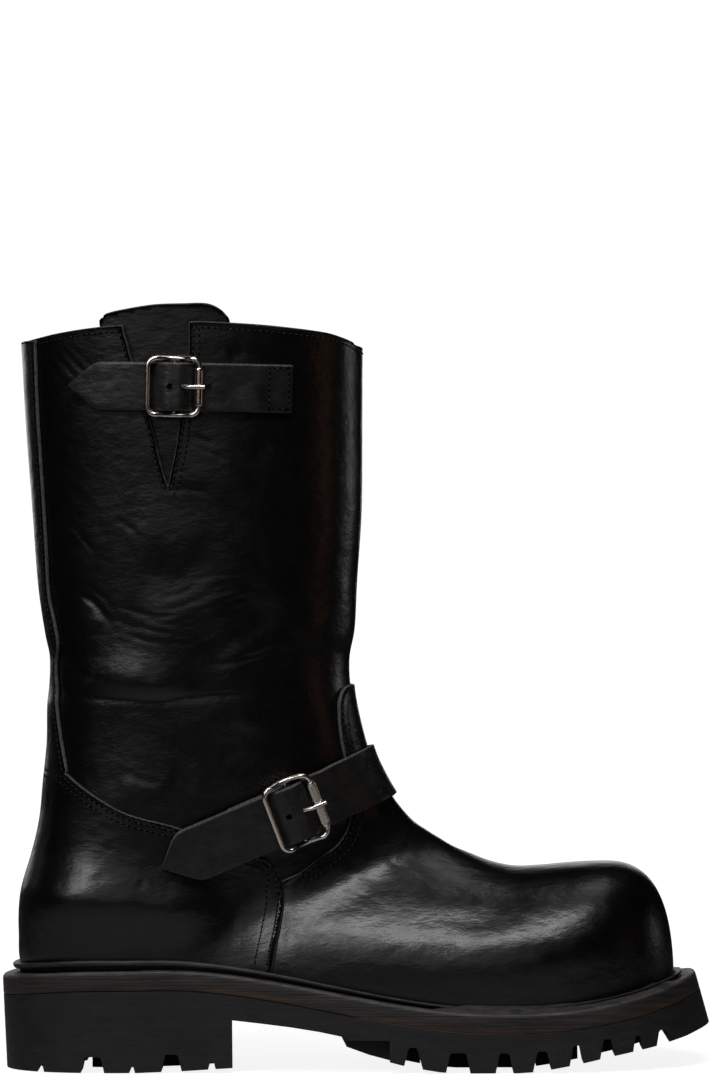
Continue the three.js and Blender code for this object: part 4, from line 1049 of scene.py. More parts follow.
def tread_zone():
    """Where the channels between side lugs and middle lugs are cut."""
    breast_x = ARCH_POINTS[0][0] - 9
    start_x = FOREFOOT_POINTS[0][0] + 14
    heel = [(x, z - 20) for x, z in HEEL_POINTS[:-1]] + [
        (breast_x, tread_z(breast_x) - 20), (breast_x, tread_z(breast_x) + 0.75 * LUG_DEPTH),
        (along_x(-0.08), 0.75 * LUG_DEPTH),
    ]
    toe_x = along_x(1.1)
    fore = [(start_x, -20), (toe_x, -20), (toe_x, tread_z(toe_x) + 0.5 * LUG_DEPTH)]
    fore += [(along_x(s), tread_z(along_x(s)) + 0.75 * LUG_DEPTH) for s in (0.893, 0.787, 0.64)]
    fore += [(start_x, tread_z(start_x) + 0.75 * LUG_DEPTH)]
    return boolean(prism(heel), prism(fore), "UNION")


def outsole_mesh():
    body = rings_solid("outsole", [side_ring(level(0), 0), side_ring(outsole_top, 0)])
    low = [(x, z) for x, z in TREAD_POINTS]
    under = prism(low + [(along_x(1.1), -60), (along_x(-0.08), -60)])
    body = boolean(body, under, "DIFFERENCE")
    last = ARCH_POINTS[-1]
    arch = prism([(ARCH_POINTS[0][0], -30), *ARCH_POINTS, (last[0], -30)], skew=BREAST_SKEW)
    body = boolean(body, arch, "DIFFERENCE")
    from_x, to_x = FOREFOOT_POINTS[0][0] - 8, along_x(FIRST_LUG_END)
    recess = prism([(from_x, -30), (to_x, -30), (to_x, FIRST_LUG_TOP), (from_x, FIRST_LUG_TOP)])
    body = boolean(body, boolean(recess, sole_side(FIRST_LUG_INSET), "DIFFERENCE"), "DIFFERENCE")
    gaps = lug_gap(LUG_GAPS[0])
    for gap in LUG_GAPS[1:]:
        gaps = boolean(gaps, lug_gap(gap), "UNION")
    body = boolean(body, boolean(gaps, sole_side(LUG_BAND + 1), "DIFFERENCE"), "DIFFERENCE")
    channels = boolean(sole_side(LUG_BAND), sole_side(LUG_BAND + CHANNEL_WIDTH), "DIFFERENCE")
    for share in (0.1, 0.2, 0.62, 0.7, 0.78, 0.86):
        x, half = along_x(share), CHANNEL_WIDTH / 2
        bar = prism([(x - half, -20), (x + half, -20), (x + half, 40), (x - half, 40)])
        channels = boolean(channels, boolean(bar, sole_side(LUG_BAND + 1), "INTERSECT"), "UNION")
    return boolean(body, boolean(channels, tread_zone(), "INTERSECT"), "DIFFERENCE")


def make_outsole():
    mesh = outsole_mesh()
    mesh.materials.clear()
    mesh.materials.append(rubber())
    piece = finish_piece("lug_outsole", mesh, ("outsole",))
    round_off = piece.modifiers.new("round", "BEVEL")
    round_off.width = 0.0005
    round_off.segments = 2
    round_off.limit_method = "ANGLE"
    round_off.angle_limit = math.radians(35)
    return piece


def make_midsole():
    """The midsole, with softened edges. Its stack attribute runs from 0 at the bottom to 1."""
    profile = [
        (0.0, 1.0), (0.015, 0.45), (0.06, 0.12), (0.12, 0.0), (0.3, 0.0), (0.5, 0.0), (0.7, 0.0),
        (0.84, 0.05), (0.93, 0.3), (0.985, 0.8), (1.0, 1.5),
    ]
    rings = [side_ring(lambda x, s=s: mix(outsole_top(x), midsole_top(x), s), inset) for s, inset in profile]
    mesh = rings_solid("midsole", rings)
    stack = mesh.attributes.new("stack", "FLOAT", "POINT")
    stack.data.foreach_set("value", np.repeat([s for s, _ in profile], len(rings[0])).astype(np.float32))
    mesh.materials.append(stacked_leather())
    mesh.polygons.foreach_set("use_smooth", np.full(len(mesh.polygons), True))
    return finish_piece("stacked_midsole", mesh, ("midsole",))


def make_welt():
    """The narrow strip that stands against the foot all round."""
    inner, outer = GAP + OVERLAY + GAP, GAP + OVERLAY + GAP + WELT_WIDTH
    # Each ring: share of the height from the top, and distance out from the form.
    profile = [
        (1.0, inner), (1.0, outer - 1.7), (0.66, outer - 1.7), (0.56, outer - 0.2), (0.46, outer),
        (0.16, outer), (0.05, outer - 0.25), (0.0, outer - 0.7), (0.0, inner + 0.6), (0.12, inner),
    ]
    rings = []
    for down, out in profile:
        sides = []
        for side in (1, -1):
            line = feather_side(side, WELT_HEEL_RISE * down, 1.6)
            p, n = surface(line[:, 0], line[:, 1])
            flat = unit(n * [1, 1, 0.0])
            p = p + flat * out
            p[:, 2] = feather_z(p[:, 0]) - down * (welt_rise(p[:, 0]) - GAP)
            sides.append(p)
        loop = np.vstack([sides[0], sides[1][::-1][1:-1]])
        rings.append(resample(loop, 1.0, closed=True))
    rings = [loop_of(ring, 480) for ring in rings]
    points = np.vstack(rings)
    blocks = []
    n = len(rings[0])
    following = (np.arange(n) + 1) % n
    for k in range(len(rings)):
        a = k * n + np.arange(n)
        b = ((k + 1) % len(rings)) * n + np.arange(n)
        blocks.append(np.stack([a, a - np.arange(n) + following, b - np.arange(n) + following, b], 1))
    mesh = new_mesh("welt", points, blocks, [welt_leather()])
    fix_facing(mesh)
    return finish_piece("storm_welt", mesh, ("welt",))


def loop_of(points, count):
    """The closed loop, with that many points."""
    closed = np.vstack([points, points[:1]])
    length = np.concatenate([[0], np.cumsum(np.linalg.norm(np.diff(closed, axis=0), axis=1))])
    at = np.linspace(0, length[-1], count + 1)[:-1]
    return np.stack([np.interp(at, length, closed[:, k]) for k in range(3)], 1)


def fix_facing(mesh):
    shell = bmesh.new()
    shell.from_mesh(mesh)
    bmesh.ops.recalc_face_normals(shell, faces=shell.faces)
    shell.to_mesh(mesh)
    shell.free()


def make_insole():
    """The sock that the foot stands on, a slab whose top runs 3 mm over the feather line."""
    inset = -(WALL + GAP + 0.1)
    line = np.vstack([feather_side(1, -3.0, 2.0), feather_side(-1, -3.0, 2.0)[::-1][1:-1]])
    p, n = surface(line[:, 0], line[:, 1])
    rim = p + unit(n * [1, 1, 0.0]) * inset
    flat, faces, loop = fill(rim[:, :2] if area_of(rim[:, :2]) > 0 else rim[::-1, :2], 4.0)
    top = np.column_stack([flat, feather_z(flat[:, 0]) + 3])
    under = top - [0, 0, 7]
    count = len(top)
    following = np.roll(np.arange(len(loop)), -1)
    side = np.stack([loop, loop + count, loop[following] + count, loop[following]], 1)
    mesh = new_mesh("insole", np.vstack([top, under]), [faces, faces[:, ::-1] + count, side], [sock_leather()])
    fix_facing(mesh)
    return finish_piece("insole_sock", mesh, ("insole",))


# Straps and buckles.
def form_tree(lift):
    """The form's surface at a height, for rays from inside the leg."""
    u = np.interp(np.linspace(0, TOE_ROW - 4, 190), WALK_T, WALK_U)
    w = np.linspace(-1, 1, 221)
    grid_u, grid_w = np.meshgrid(u, w, indexing="ij")
    point, normal = surface(grid_u.ravel(), grid_w.ravel())
    index = np.arange(grid_u.size).reshape(grid_u.shape)
    faces = np.stack([index[:-1, :-1], index[1:, :-1], index[1:, 1:], index[:-1, 1:]], -1).reshape(-1, 4)
    return tree_of(point + normal * lift, faces)


class StrapPlane:
    """A plane leaning across the leg, in which a strap runs round it."""

    def __init__(self, tree, centre, lean):
        self.tree = tree
        self.forward = np.array([math.cos(lean), 0, math.sin(lean)])
        self.across = np.array([-math.sin(lean), 0, math.cos(lean)])
        x, z = side_points([centre])[0]
        self.origin = np.array([x, LINE_Y, z])

    def hit(self, turn, v=0.0):
        direction = self.forward * math.cos(turn) + np.array([0, -math.sin(turn), 0])
        place, _, _, _ = self.tree.ray_cast(Vector(self.origin + self.across * v), Vector(direction))
        return np.array(place)

    def turn_at(self, distance, side):
        """The turn at which the strap passes a distance along the boot, on one side."""
        low, high = 0.02, math.pi - 0.02
        for _ in range(40):
            middle = (low + high) / 2
            if (self.hit(side * middle) - self.origin) @ self.forward > distance:
                low = middle
            else:
                high = middle
        return side * (low + high) / 2

    def turns(self, start, end, spacing):
        fine = np.linspace(start, end, 481)
        points = np.array([self.hit(turn) for turn in fine])
        length = np.concatenate([[0], np.cumsum(np.linalg.norm(np.diff(points, axis=0), axis=1))])
        count = max(2, int(round(length[-1] / spacing)))
        return np.interp(np.linspace(0, length[-1], count + 1), length, fine), length[-1]


# A strap's section, as shares of the width and of the thickness, from one lower corner round.
def strap_section(thickness, width):
    soft = 0.35 / width
    top = np.linspace(-0.5 + 3.4 * soft, 0.5 - 3.4 * soft, 11)
    left = [(-0.5 + soft, 0.0), (-0.5, 0.12), (-0.5 + 1.4 * soft, 0.88), (-0.5 + 2 * soft, 0.98)]
    right = [(-v, h) for v, h in reversed(left)]
    rows = left + [(v, 1.0) for v in top] + right + [(v, 0.0) for v in top[::-2]]
    section = np.array(rows)
    raw = np.zeros(len(section), int)
    raw[[0, 1, 2]] = 1
    first_right = len(left) + len(top)
    raw[[first_right, first_right + 1, first_right + 2]] = 1
    return section, raw


def band(plane, start, end, width, thickness, lift_at=None, width_at=None, spacing=1.2):
    """A strap's closed mesh: points, face blocks, slots, and its middle line with directions."""
    turns, total = plane.turns(start, end, spacing)
    at = np.linspace(0, total, len(turns))
    shares = np.ones(len(turns)) if width_at is None else width_at(at)
    section, raw = strap_section(thickness, width)
    columns = np.unique(section[:, 0])
    base = np.array([[plane.hit(turn, v * width * share) for v in columns] for turn, share in zip(turns, shares)])
    base = smooth_rows(base)
    ahead = unit(np.gradient(base[:, len(columns) // 2], axis=0))
    across = unit(base[:, -1] - base[:, 0])
    normal = unit(np.cross(ahead, across))
    outward = ((base[:, len(columns) // 2] - plane.origin) * normal).sum(1).mean()
    normal = normal * np.sign(outward)
    column_of = np.searchsorted(columns, section[:, 0])
    point = base[:, column_of]
    lift = np.full(point.shape[:2], STRAP_SEAT)
    if lift_at is not None:
        lift = lift + lift_at(np.repeat(at[:, None], point.shape[1], 1), point)
    point = point + normal[:, None, :] * (lift + section[None, :, 1] * thickness)[..., None]
    rows, count = point.shape[:2]
    index = np.arange(rows * count).reshape(rows, count)
    following = np.roll(index, -1, 1)
    quads = np.stack([index[:-1], following[:-1], following[1:], index[1:]], -1).reshape(-1, 4)
    slots = np.tile(raw, rows - 1)
    caps = [index[0][::-1].tolist(), index[-1].tolist()]
    return point.reshape(-1, 3), quads.tolist() + caps, np.concatenate([slots, [1, 1]]), at, point, normal


def smooth_rows(base):
    """Takes the facets of the base out of a grid of points, along the strap."""
    for _ in range(6):
        inner = (base[:-2] + 2 * base[1:-1] + base[2:]) / 4
        base = np.concatenate([base[:1], inner, base[-1:]])
    return base


def strap_mesh(name, points, faces, slots, materials):
    mesh = bpy.data.meshes.new(name)
    mesh.from_pydata((points / 1000).tolist(), [], faces)
    for material in materials:
        mesh.materials.append(material)
    mesh.polygons.foreach_set("material_index", np.asarray(slots, np.int32))
    mesh.update()
    fix_facing(mesh)
    return mesh


def sweep(path, radius, sides, closed=False, up=(0, 0, 1), radii=None):
    """A round wire along a path, as points and faces."""
    path = np.asarray(path, float)
    count = len(path)
    if closed:
        ahead = unit(np.roll(path, -1, 0) - np.roll(path, 1, 0))
    else:
        ahead = unit(np.gradient(path, axis=0))
    side = unit(np.cross(ahead, np.asarray(up, float)))
    top = np.cross(side, ahead)
    turn = np.arange(sides) / sides * 2 * math.pi
    size = np.full(count, radius) if radii is None else radius * np.asarray(radii)
    rings = path[:, None] + size[:, None, None] * (
        side[:, None] * np.cos(turn)[None, :, None] + top[:, None] * np.sin(turn)[None, :, None]
    )
    index = np.arange(count * sides).reshape(count, sides)
    following = np.roll(index, -1, 1)
    if closed:
        a, b = index, np.roll(index, -1, 0)
        c, d = np.roll(following, -1, 0), following
    else:
        a, b, c, d = index[:-1], index[1:], following[1:], following[:-1]
    faces = np.stack([a, b, c, d], -1).reshape(-1, 4).tolist()
    if not closed:
        faces += [index[0][::-1].tolist(), index[-1].tolist()]
    return rings.reshape(-1, 3), faces


def rod(half, height, radius, sides, x=0.0):
    return sweep([(x, -half, height), (x, half, height)], radius, sides)


KEEPER_LOOP = BUCKLE_BAR + GAP + KEEPER_THICKNESS
BAR_HEIGHT = GAP + KEEPER_LOOP
FRAME_HEIGHT = GAP + KEEPER_THICKNESS + GAP + STRAP_THICKNESS + GAP + BUCKLE_WIRE + 0.6
ROLLER_RADIUS = BUCKLE_WIRE + GAP + ROLLER_WALL
HUMP_HEIGHT = BAR_HEIGHT + KEEPER_LOOP + GAP + 0.15
CORNER = 4.0


def joined(*parts):
    points, faces, base = [], [], 0
    for p, f in parts:
        points.append(p)
        faces += [[v + base for v in face] for face in f]
        base += len(p)
    return np.vstack(points), faces


def frame_wire(length, width):
    half_length = length / 2 - BUCKLE_WIRE
    roller_x = length / 2 - ROLLER_RADIUS
    half_width = width / 2 - BUCKLE_WIRE
    centres = [
        (roller_x - CORNER, half_width - CORNER), (CORNER - half_length, half_width - CORNER),
        (CORNER - half_length, CORNER - half_width), (roller_x - CORNER, CORNER - half_width),
    ]
    path = []
    for quarter, (x, y) in enumerate(centres):
        for k in range(13):
            turn = (quarter + k / 12) * math.pi / 2
            path.append((x + CORNER * math.cos(turn), y + CORNER * math.sin(turn)))
    path = resample(np.array(path), 0.9, closed=True)
    rise = np.clip(np.abs(path[:, 0]) / (half_length - CORNER), 0, 1) ** 2
    return np.column_stack([path, mix(BAR_HEIGHT, FRAME_HEIGHT, rise)]), roller_x, half_width


def roller_tube(x, half, knurled):
    """A tube on the frame's front wire, smooth or knurled."""
    sides = 96 if knurled else 48
    steps = 120 if knurled else 24
    bore = BUCKLE_WIRE + 0.12
    turn = np.arange(sides) / sides * 2 * math.pi
    y = np.concatenate([[-half], np.linspace(-half + 0.25, half - 0.25, steps), [half]])
    end = np.array([0.18] + [0.0] * steps + [0.18])
    radius = ROLLER_RADIUS - end[:, None] + np.zeros((1, sides))
    if knurled:
        groove = np.abs(np.sin(turn[None, :] * 8))
        plain = smooth_step((half - 1.2 - np.abs(y)) / 0.3)[:, None]
        radius = radius - plain * 0.2 * (1 - groove)
    grid = np.stack([
        x + radius * np.cos(turn), np.repeat(y[:, None], sides, 1), FRAME_HEIGHT + radius * np.sin(turn),
    ], -1)
    inner = np.stack([
        np.tile(x + bore * np.cos(turn), (2, 1)), np.repeat([[half], [-half]], sides, 1),
        np.tile(FRAME_HEIGHT + bore * np.sin(turn), (2, 1)),
    ], -1)
    grid = np.concatenate([grid, inner])
    rows = len(grid)
    index = np.arange(rows * sides).reshape(rows, sides)
    nxt, right = np.roll(index, -1, 0), np.roll(index, -1, 1)
    corner = np.roll(nxt, -1, 1)
    return grid.reshape(-1, 3), np.stack([index, right, corner, nxt], -1).reshape(-1, 4).tolist()


def prong_path(length):
    top = FRAME_HEIGHT + ROLLER_RADIUS + GAP * 0.4 + PRONG_RADIUS
    table = [
        (0.6, BAR_HEIGHT + 1.2), (3.2, HUMP_HEIGHT + 0.8), (6.5, top - 0.5), (9.5, top), (length / 2 + 1, top),
    ]
    line = curved(table, 8)
    return np.column_stack([line[:, 0], np.zeros(len(line)), line[:, 1]])


def placed(part, basis, origin):
    points, faces = part
    return origin + points @ basis, faces


Strap = namedtuple("Strap", "name base centre lean width buckle tip_at end_at end_side keeper buckle_at holes knurled")
Buckle = namedtuple("Buckle", "length width")
STRAP_SEAT = 0.6
STRAP_TIP = 12.5
STRAPS = [
    Strap("ankle", GAP + OVERLAY + GAP, (0.3525, 0.625), math.radians(22.5), 25.5, Buckle(26, 33),
          -0.142, -0.05, -1, 27, 0.0745, (-4.2,), True),
    Strap("top", GAP, (0.26, 1.874), math.radians(-1.5), 22, Buckle(26.8, 28),
          -0.169, 0.163, 1, 30, -0.012, (-2.0, 15.6), False),
]


def make_strap(strap):
    """One strap with its keeper, frame, roller, prong and stitches."""
    plane = StrapPlane(form_tree(strap.base), strap.centre, strap.lean)
    buckle_turn = plane.turn_at(strap.buckle_at * LAST_LENGTH, 1)
    tip_turn = plane.turn_at(strap.tip_at * LAST_LENGTH, 1)
    end_turn = plane.turn_at(strap.end_at * LAST_LENGTH, strap.end_side)
    to_buckle = plane.turns(tip_turn, buckle_turn, 5)[1]

    # The buckle's own frame: x along the strap, y across it, z away from the leg.
    ahead = 0.06
    x_axis = unit(plane.hit(buckle_turn - ahead) - plane.hit(buckle_turn + ahead))
    hits = np.array([plane.hit(buckle_turn, v * strap.width) for v in (-0.5, -0.25, 0, 0.25, 0.5)])
    z_axis = unit(np.cross(x_axis, hits[4] - hits[0]))
    z_axis = z_axis * np.sign((hits[2] - plane.origin) @ z_axis)
    seat = ((hits - hits[2]) @ z_axis).max()
    origin = hits[2] + z_axis * (seat + STRAP_SEAT)
    basis = np.array([x_axis, unit(np.cross(z_axis, x_axis)), z_axis])

    length = strap.buckle.length
    hump_reach = length / 2 - 1
    on_keeper = KEEPER_THICKNESS + GAP + 0.2

    def lift_at(s, below):
        local = below - origin
        along = local @ x_axis
        step = on_keeper * smooth_step((6 - (s - to_buckle)) / 8)
        hump = HUMP_HEIGHT * np.clip(1.04 - (along / hump_reach) ** 2, 0, 1) ** 1.5
        near = smooth_step((length - np.abs(s - to_buckle)) / (0.5 * length))
        return np.maximum(step, (hump - local @ z_axis - STRAP_SEAT) * near)

    def width_at(s):
        return mix(0.03, 1, np.clip(s / STRAP_TIP, 0, 1))

    points, faces, slots, at, grid, normal = band(
        plane, tip_turn, end_turn, strap.width, STRAP_THICKNESS, lift_at, width_at)
    leather_pair = [strap_leather(), raw_edge()]
    mesh = strap_mesh("strap", points, faces, slots, leather_pair)
    prong_line = prong_path(length)
    slot_line = placed(sweep(prong_line[:12], PRONG_RADIUS + 0.35, 16, up=(0, 1, 0)), basis, origin)
    mesh = boolean(mesh, solid("slot", *slot_line), "DIFFERENCE")
    for hole in strap.holes:
        hole_at = sweep([(hole, 0, -2), (hole, 0, 14)], 1.35, 24, up=(1, 0, 0))
        mesh = boolean(mesh, solid("hole", *placed(hole_at, basis, origin)), "DIFFERENCE")
    keep_materials(mesh, leather_pair)
    mesh.polygons.foreach_set("use_smooth", np.full(len(mesh.polygons), True))
    piece = finish_piece(strap.name + "_strap_leather", mesh, (strap.name + "_strap",))
    sharpen(piece)

    make_stitches(strap.name + "_strap_stitches", box_stitches(strap, grid, normal, at))

    keeper_turn = plane.turn_at(strap.buckle_at * LAST_LENGTH - strap.keeper, 1)
    tab = band(plane, keeper_turn, buckle_turn, strap.width, KEEPER_THICKNESS)
    keeper = strap_mesh("keeper", tab[0], tab[1], tab[2], leather_pair)
    fold = placed(rod(strap.width / 2, BAR_HEIGHT, KEEPER_LOOP, 40), basis, origin)
    bore = placed(rod(strap.width, BAR_HEIGHT, BUCKLE_BAR + 0.15, 40), basis, origin)
    eye_room = placed(rod(PRONG_RADIUS + GAP, BAR_HEIGHT, BUCKLE_BAR + GAP + 1.5, 32), basis, origin)
    keeper = boolean(keeper, solid("fold", *fold), "UNION")
    keeper = boolean(keeper, solid("bore", *bore), "DIFFERENCE")
    keeper = boolean(keeper, solid("eye_room", *eye_room), "DIFFERENCE")
    keeper = boolean(keeper, solid("slot", *slot_line), "DIFFERENCE")
    keep_materials(keeper, leather_pair)
    keeper_piece = finish_piece(
        strap.name + "_buckle_keeper_leather", keeper, (strap.name + "_buckle_keeper",))
    sharpen(keeper_piece)

    wire, roller_x, half_width = frame_wire(strap.buckle.length, strap.buckle.width)
    frame_part = joined(sweep(wire, BUCKLE_WIRE, 20, closed=True), rod(half_width, BAR_HEIGHT, BUCKLE_BAR, 24))
    roller_half = half_width - CORNER - 0.3
    radii = np.ones(len(prong_line))
    radii[-1] = 0.55
    eye = rod(PRONG_RADIUS, BAR_HEIGHT, BUCKLE_BAR + GAP + 1, 32)
    metal = nickel()
    parts = [
        ("frame", frame_part), ("roller", roller_tube(roller_x, roller_half, strap.knurled)),
        ("prong", joined(sweep(prong_line, PRONG_RADIUS, 20, up=(0, 1, 0), radii=radii), eye)),
    ]
    for part, shape in parts:
        shape = placed(shape, basis, origin)
        mesh = solid(part, *shape)
        mesh.materials.append(metal)
        node = f"{strap.name}_buckle_{part}"
        mesh.polygons.foreach_set("use_smooth", np.full(len(mesh.polygons), True))
        sharpen(finish_piece(f"{node}_metal", mesh, (node,)))


def box_stitches(strap, grid, normal, at):
    """A sewn box at the strap's fixed end."""
    section, _ = strap_section(STRAP_THICKNESS, strap.width)
    top = np.nonzero(section[:, 1] == 1.0)[0]
    across = section[top, 0] * strap.width
    end, half = at[-1], strap.width / 2

    def on_top(corners):
        line = resample(np.array(corners, float), 2.5)
        row = np.interp(line[:, 0], at, np.arange(len(at)))
        low = np.minimum(row.astype(int), len(at) - 2)
        share = (row - low)[:, None]
        points = mix(grid[low][:, top], grid[low + 1][:, top], share[..., None])
        place = [[np.interp(v, across, p[:, k]) for k in range(3)] for v, p in zip(line[:, 1], points)]
        return sewn(np.array(place), mix(normal[low], normal[low + 1], share), 2.5)

    left, right, edge = end - 10.6, end - 1.7, half - 1.8
    return [
        on_top([(left, -edge), (left, edge)]), on_top([(right, -edge), (right, edge)]),
        on_top([(left + 2, edge), (right - 1, edge)]), on_top([(left + 2, -edge), (right - 1, -edge)]),
    ]


def keep_materials(mesh, materials):
    """Booleans add a slot for each cutter: every face goes back to the strap's own materials."""
    index = np.zeros(len(mesh.polygons), np.int32)
    mesh.polygons.foreach_get("material_index", index)
    mesh.materials.clear()
    for material in materials:
        mesh.materials.append(material)
    mesh.polygons.foreach_set("material_index", np.minimum(index, len(materials) - 1))


def sharpen(piece, angle=40):
    """Smooth faces that part at corners sharper than the angle."""
    piece.data.set_sharp_from_angle(angle=math.radians(angle))


# Materials.
MADE = {}


def material(name):
    """A new node material, its node tree's helper and its shader."""
    made = bpy.data.materials.new(name)
    made.use_nodes = True
    tree = made.node_tree
    shader = tree.nodes["Principled BSDF"]
    return made, tree, shader


def node(tree, kind, **settings):
    made = tree.nodes.new(kind)
    for key, value in settings.items():
        if key in made.inputs:
            made.inputs[key].default_value = value
        else:
            setattr(made, key, value)
    return made


def place_of(tree, stretch=(1, 1, 1), turn=(0, 0, 0)):
    """The surface point in the boot's own metres, stretched and turned."""
    source = node(tree, "ShaderNodeTexCoord")
    mapping = node(tree, "ShaderNodeMapping")
    mapping.inputs["Scale"].default_value = stretch
    mapping.inputs["Rotation"].default_value = turn
    tree.links.new(source.outputs["Object"], mapping.inputs["Vector"])
    return mapping.outputs["Vector"]


def noise(tree, size, detail=3.0, roughness=0.55, stretch=(1, 1, 1), turn=(0, 0, 0), distortion=0.0):
    """A noise whose blotches are about size millimetres across."""
    made = node(tree, "ShaderNodeTexNoise")
    made.inputs["Scale"].default_value = 1000.0 / size
    made.inputs["Detail"].default_value = detail
    made.inputs["Roughness"].default_value = roughness
    made.inputs["Distortion"].default_value = distortion
    tree.links.new(place_of(tree, stretch, turn), made.inputs["Vector"])
    return made.outputs["Fac"]


def spread(tree, value, low, high, start=0.3, end=0.7):
    """A value carried from one range to another."""
    made = node(tree, "ShaderNodeMapRange")
    made.inputs["From Min"].default_value = start
    made.inputs["From Max"].default_value = end
    made.inputs["To Min"].default_value = low
    made.inputs["To Max"].default_value = high
    tree.links.new(value, made.inputs["Value"])
    return made.outputs["Result"]


def blend_colours(tree, factor, first, second):
    made = node(tree, "ShaderNodeMix", data_type="RGBA")
    made.inputs[6].default_value = (*first, 1)
    made.inputs[7].default_value = (*second, 1)
    tree.links.new(factor, made.inputs[0])
    return made.outputs[2]


def bump(tree, height, distance, strength=1.0, before=None):
    """A bump of that many millimetres over an earlier one."""
    made = node(tree, "ShaderNodeBump")
    made.inputs["Distance"].default_value = distance / 1000
    made.inputs["Strength"].default_value = strength
    tree.links.new(height, made.inputs["Height"])
    if before is not None:
        tree.links.new(before, made.inputs["Normal"])
    return made.outputs["Normal"]


def waves(tree, period, distortion=0.0, direction="Z"):
    """Ridges that repeat up the boot, that many millimetres apart."""
    made = node(tree, "ShaderNodeTexWave", bands_direction=direction)
    made.inputs["Scale"].default_value = 2 * math.pi / 20 / (period / 1000)
    made.inputs["Distortion"].default_value = distortion
    made.inputs["Detail"].default_value = 2.0
    tree.links.new(place_of(tree), made.inputs["Vector"])
    return made.outputs["Fac"]


def set_shader(shader, **values):
    for key, value in values.items():
        shader.inputs[key.replace("_", " ")].default_value = value


def once(maker):
    """Makes a material the first time it is asked for."""
    def made():
        if maker.__name__ not in MADE:
            MADE[maker.__name__] = maker()
        return MADE[maker.__name__]
    return made


def smooth_leather(name, dark, light, rough, mottle, patch):
    """Black finished leather: a fine grain, hairline wrinkles and an uneven gloss."""
    made, tree, shader = material(name)
    patches = noise(tree, patch, 3)
    tree.links.new(blend_colours(tree, spread(tree, patches, 0, 1), dark, light), shader.inputs["Base Color"])
    gloss = noise(tree, 9, 4)
    tree.links.new(spread(tree, gloss, rough, rough + 0.06), shader.inputs["Roughness"])
    wavy = bump(tree, noise(tree, 17, 2, 0.4), 0.7 * mottle)
    ripple = bump(tree, noise(tree, 5, 3, 0.55, stretch=(0.7, 1, 1.2), turn=(0, 0.5, 0)), 0.25 * mottle, 1, wavy)
    hair = bump(tree, noise(tree, 1.6, 4, 0.62, stretch=(0.4, 1, 1.6), turn=(0, 0.6, 0)), 0.07, 1, ripple)
    grain = bump(tree, noise(tree, 0.6, 2, 0.5), 0.012, 1, hair)
    tree.links.new(grain, shader.inputs["Normal"])
    set_shader(shader, Specular_IOR_Level=0.5)
    return made


@once
def upper_leather():
    return smooth_leather("upper_leather", (0.0007, 0.0007, 0.0008), (0.0016, 0.0015, 0.0015), 0.28, 1.0, 38)


@once
def strap_leather():
    return smooth_leather("strap_leather", (0.0032, 0.003, 0.0031), (0.0115, 0.0108, 0.011), 0.34, 1.5, 9)


def fibre(name, dark, light, rough):
    """Leather's cut or flesh side: dull, with short fibres."""
    made, tree, shader = material(name)
    tree.links.new(
        blend_colours(tree, spread(tree, noise(tree, 1.3, 4, 0.7), 0, 1), dark, light), shader.inputs["Base Color"])
    tree.links.new(bump(tree, noise(tree, 0.5, 3, 0.7), 0.07), shader.inputs["Normal"])
    set_shader(shader, Roughness=rough, Specular_IOR_Level=0.25)
    return made


@once
def raw_edge():
    return fibre("raw_edge", (0.02, 0.0195, 0.02), (0.1, 0.098, 0.096), 0.85)


@once
def lining():
    return fibre("lining", (0.018, 0.014, 0.011), (0.034, 0.026, 0.02), 0.8)


@once
def sock_leather():
    return fibre("sock_leather", (0.11, 0.07, 0.042), (0.17, 0.11, 0.068), 0.62)


@once
def thread():
    made, tree, shader = material("thread")
    twist = waves(tree, 0.5, 2.0)
    tree.links.new(blend_colours(tree, twist, (0.002, 0.002, 0.002), (0.005, 0.005, 0.005)), shader.inputs["Base Color"])
    tree.links.new(bump(tree, twist, 0.06), shader.inputs["Normal"])
    set_shader(shader, Roughness=0.6, Specular_IOR_Level=0.3)
    return made


# Near-black, dull plugs at the needle holes: painted shade where the holes fall dark.
@once
def pinhole_shade():
    made, tree, shader = material("pinhole_shade")
    tone = spread(tree, noise(tree, 2), 0, 1)
    tree.links.new(blend_colours(tree, tone, (0.0004, 0.0004, 0.0004), (0.001, 0.001, 0.001)), shader.inputs["Base Color"])
    set_shader(shader, Roughness=0.9, Specular_IOR_Level=0.05)
    return made


@once
def rubber():
    """Matte moulded rubber with fine level lines and a dusty bloom."""
    made, tree, shader = material("rubber")
    bloom = noise(tree, 5, 5, 0.65, stretch=(0.35, 0.35, 1.4))
    tree.links.new(
        blend_colours(tree, spread(tree, bloom, 0, 1), (0.0055, 0.0056, 0.006), (0.015, 0.0148, 0.0152)),
        shader.inputs["Base Color"])
    lines = bump(tree, waves(tree, 0.85, 1.2), 0.05)
    tree.links.new(bump(tree, noise(tree, 0.7, 3, 0.6), 0.05, 1, lines), shader.inputs["Normal"])
    tree.links.new(spread(tree, bloom, 0.55, 0.72), shader.inputs["Roughness"])
    set_shader(shader, Specular_IOR_Level=0.3)
    return made


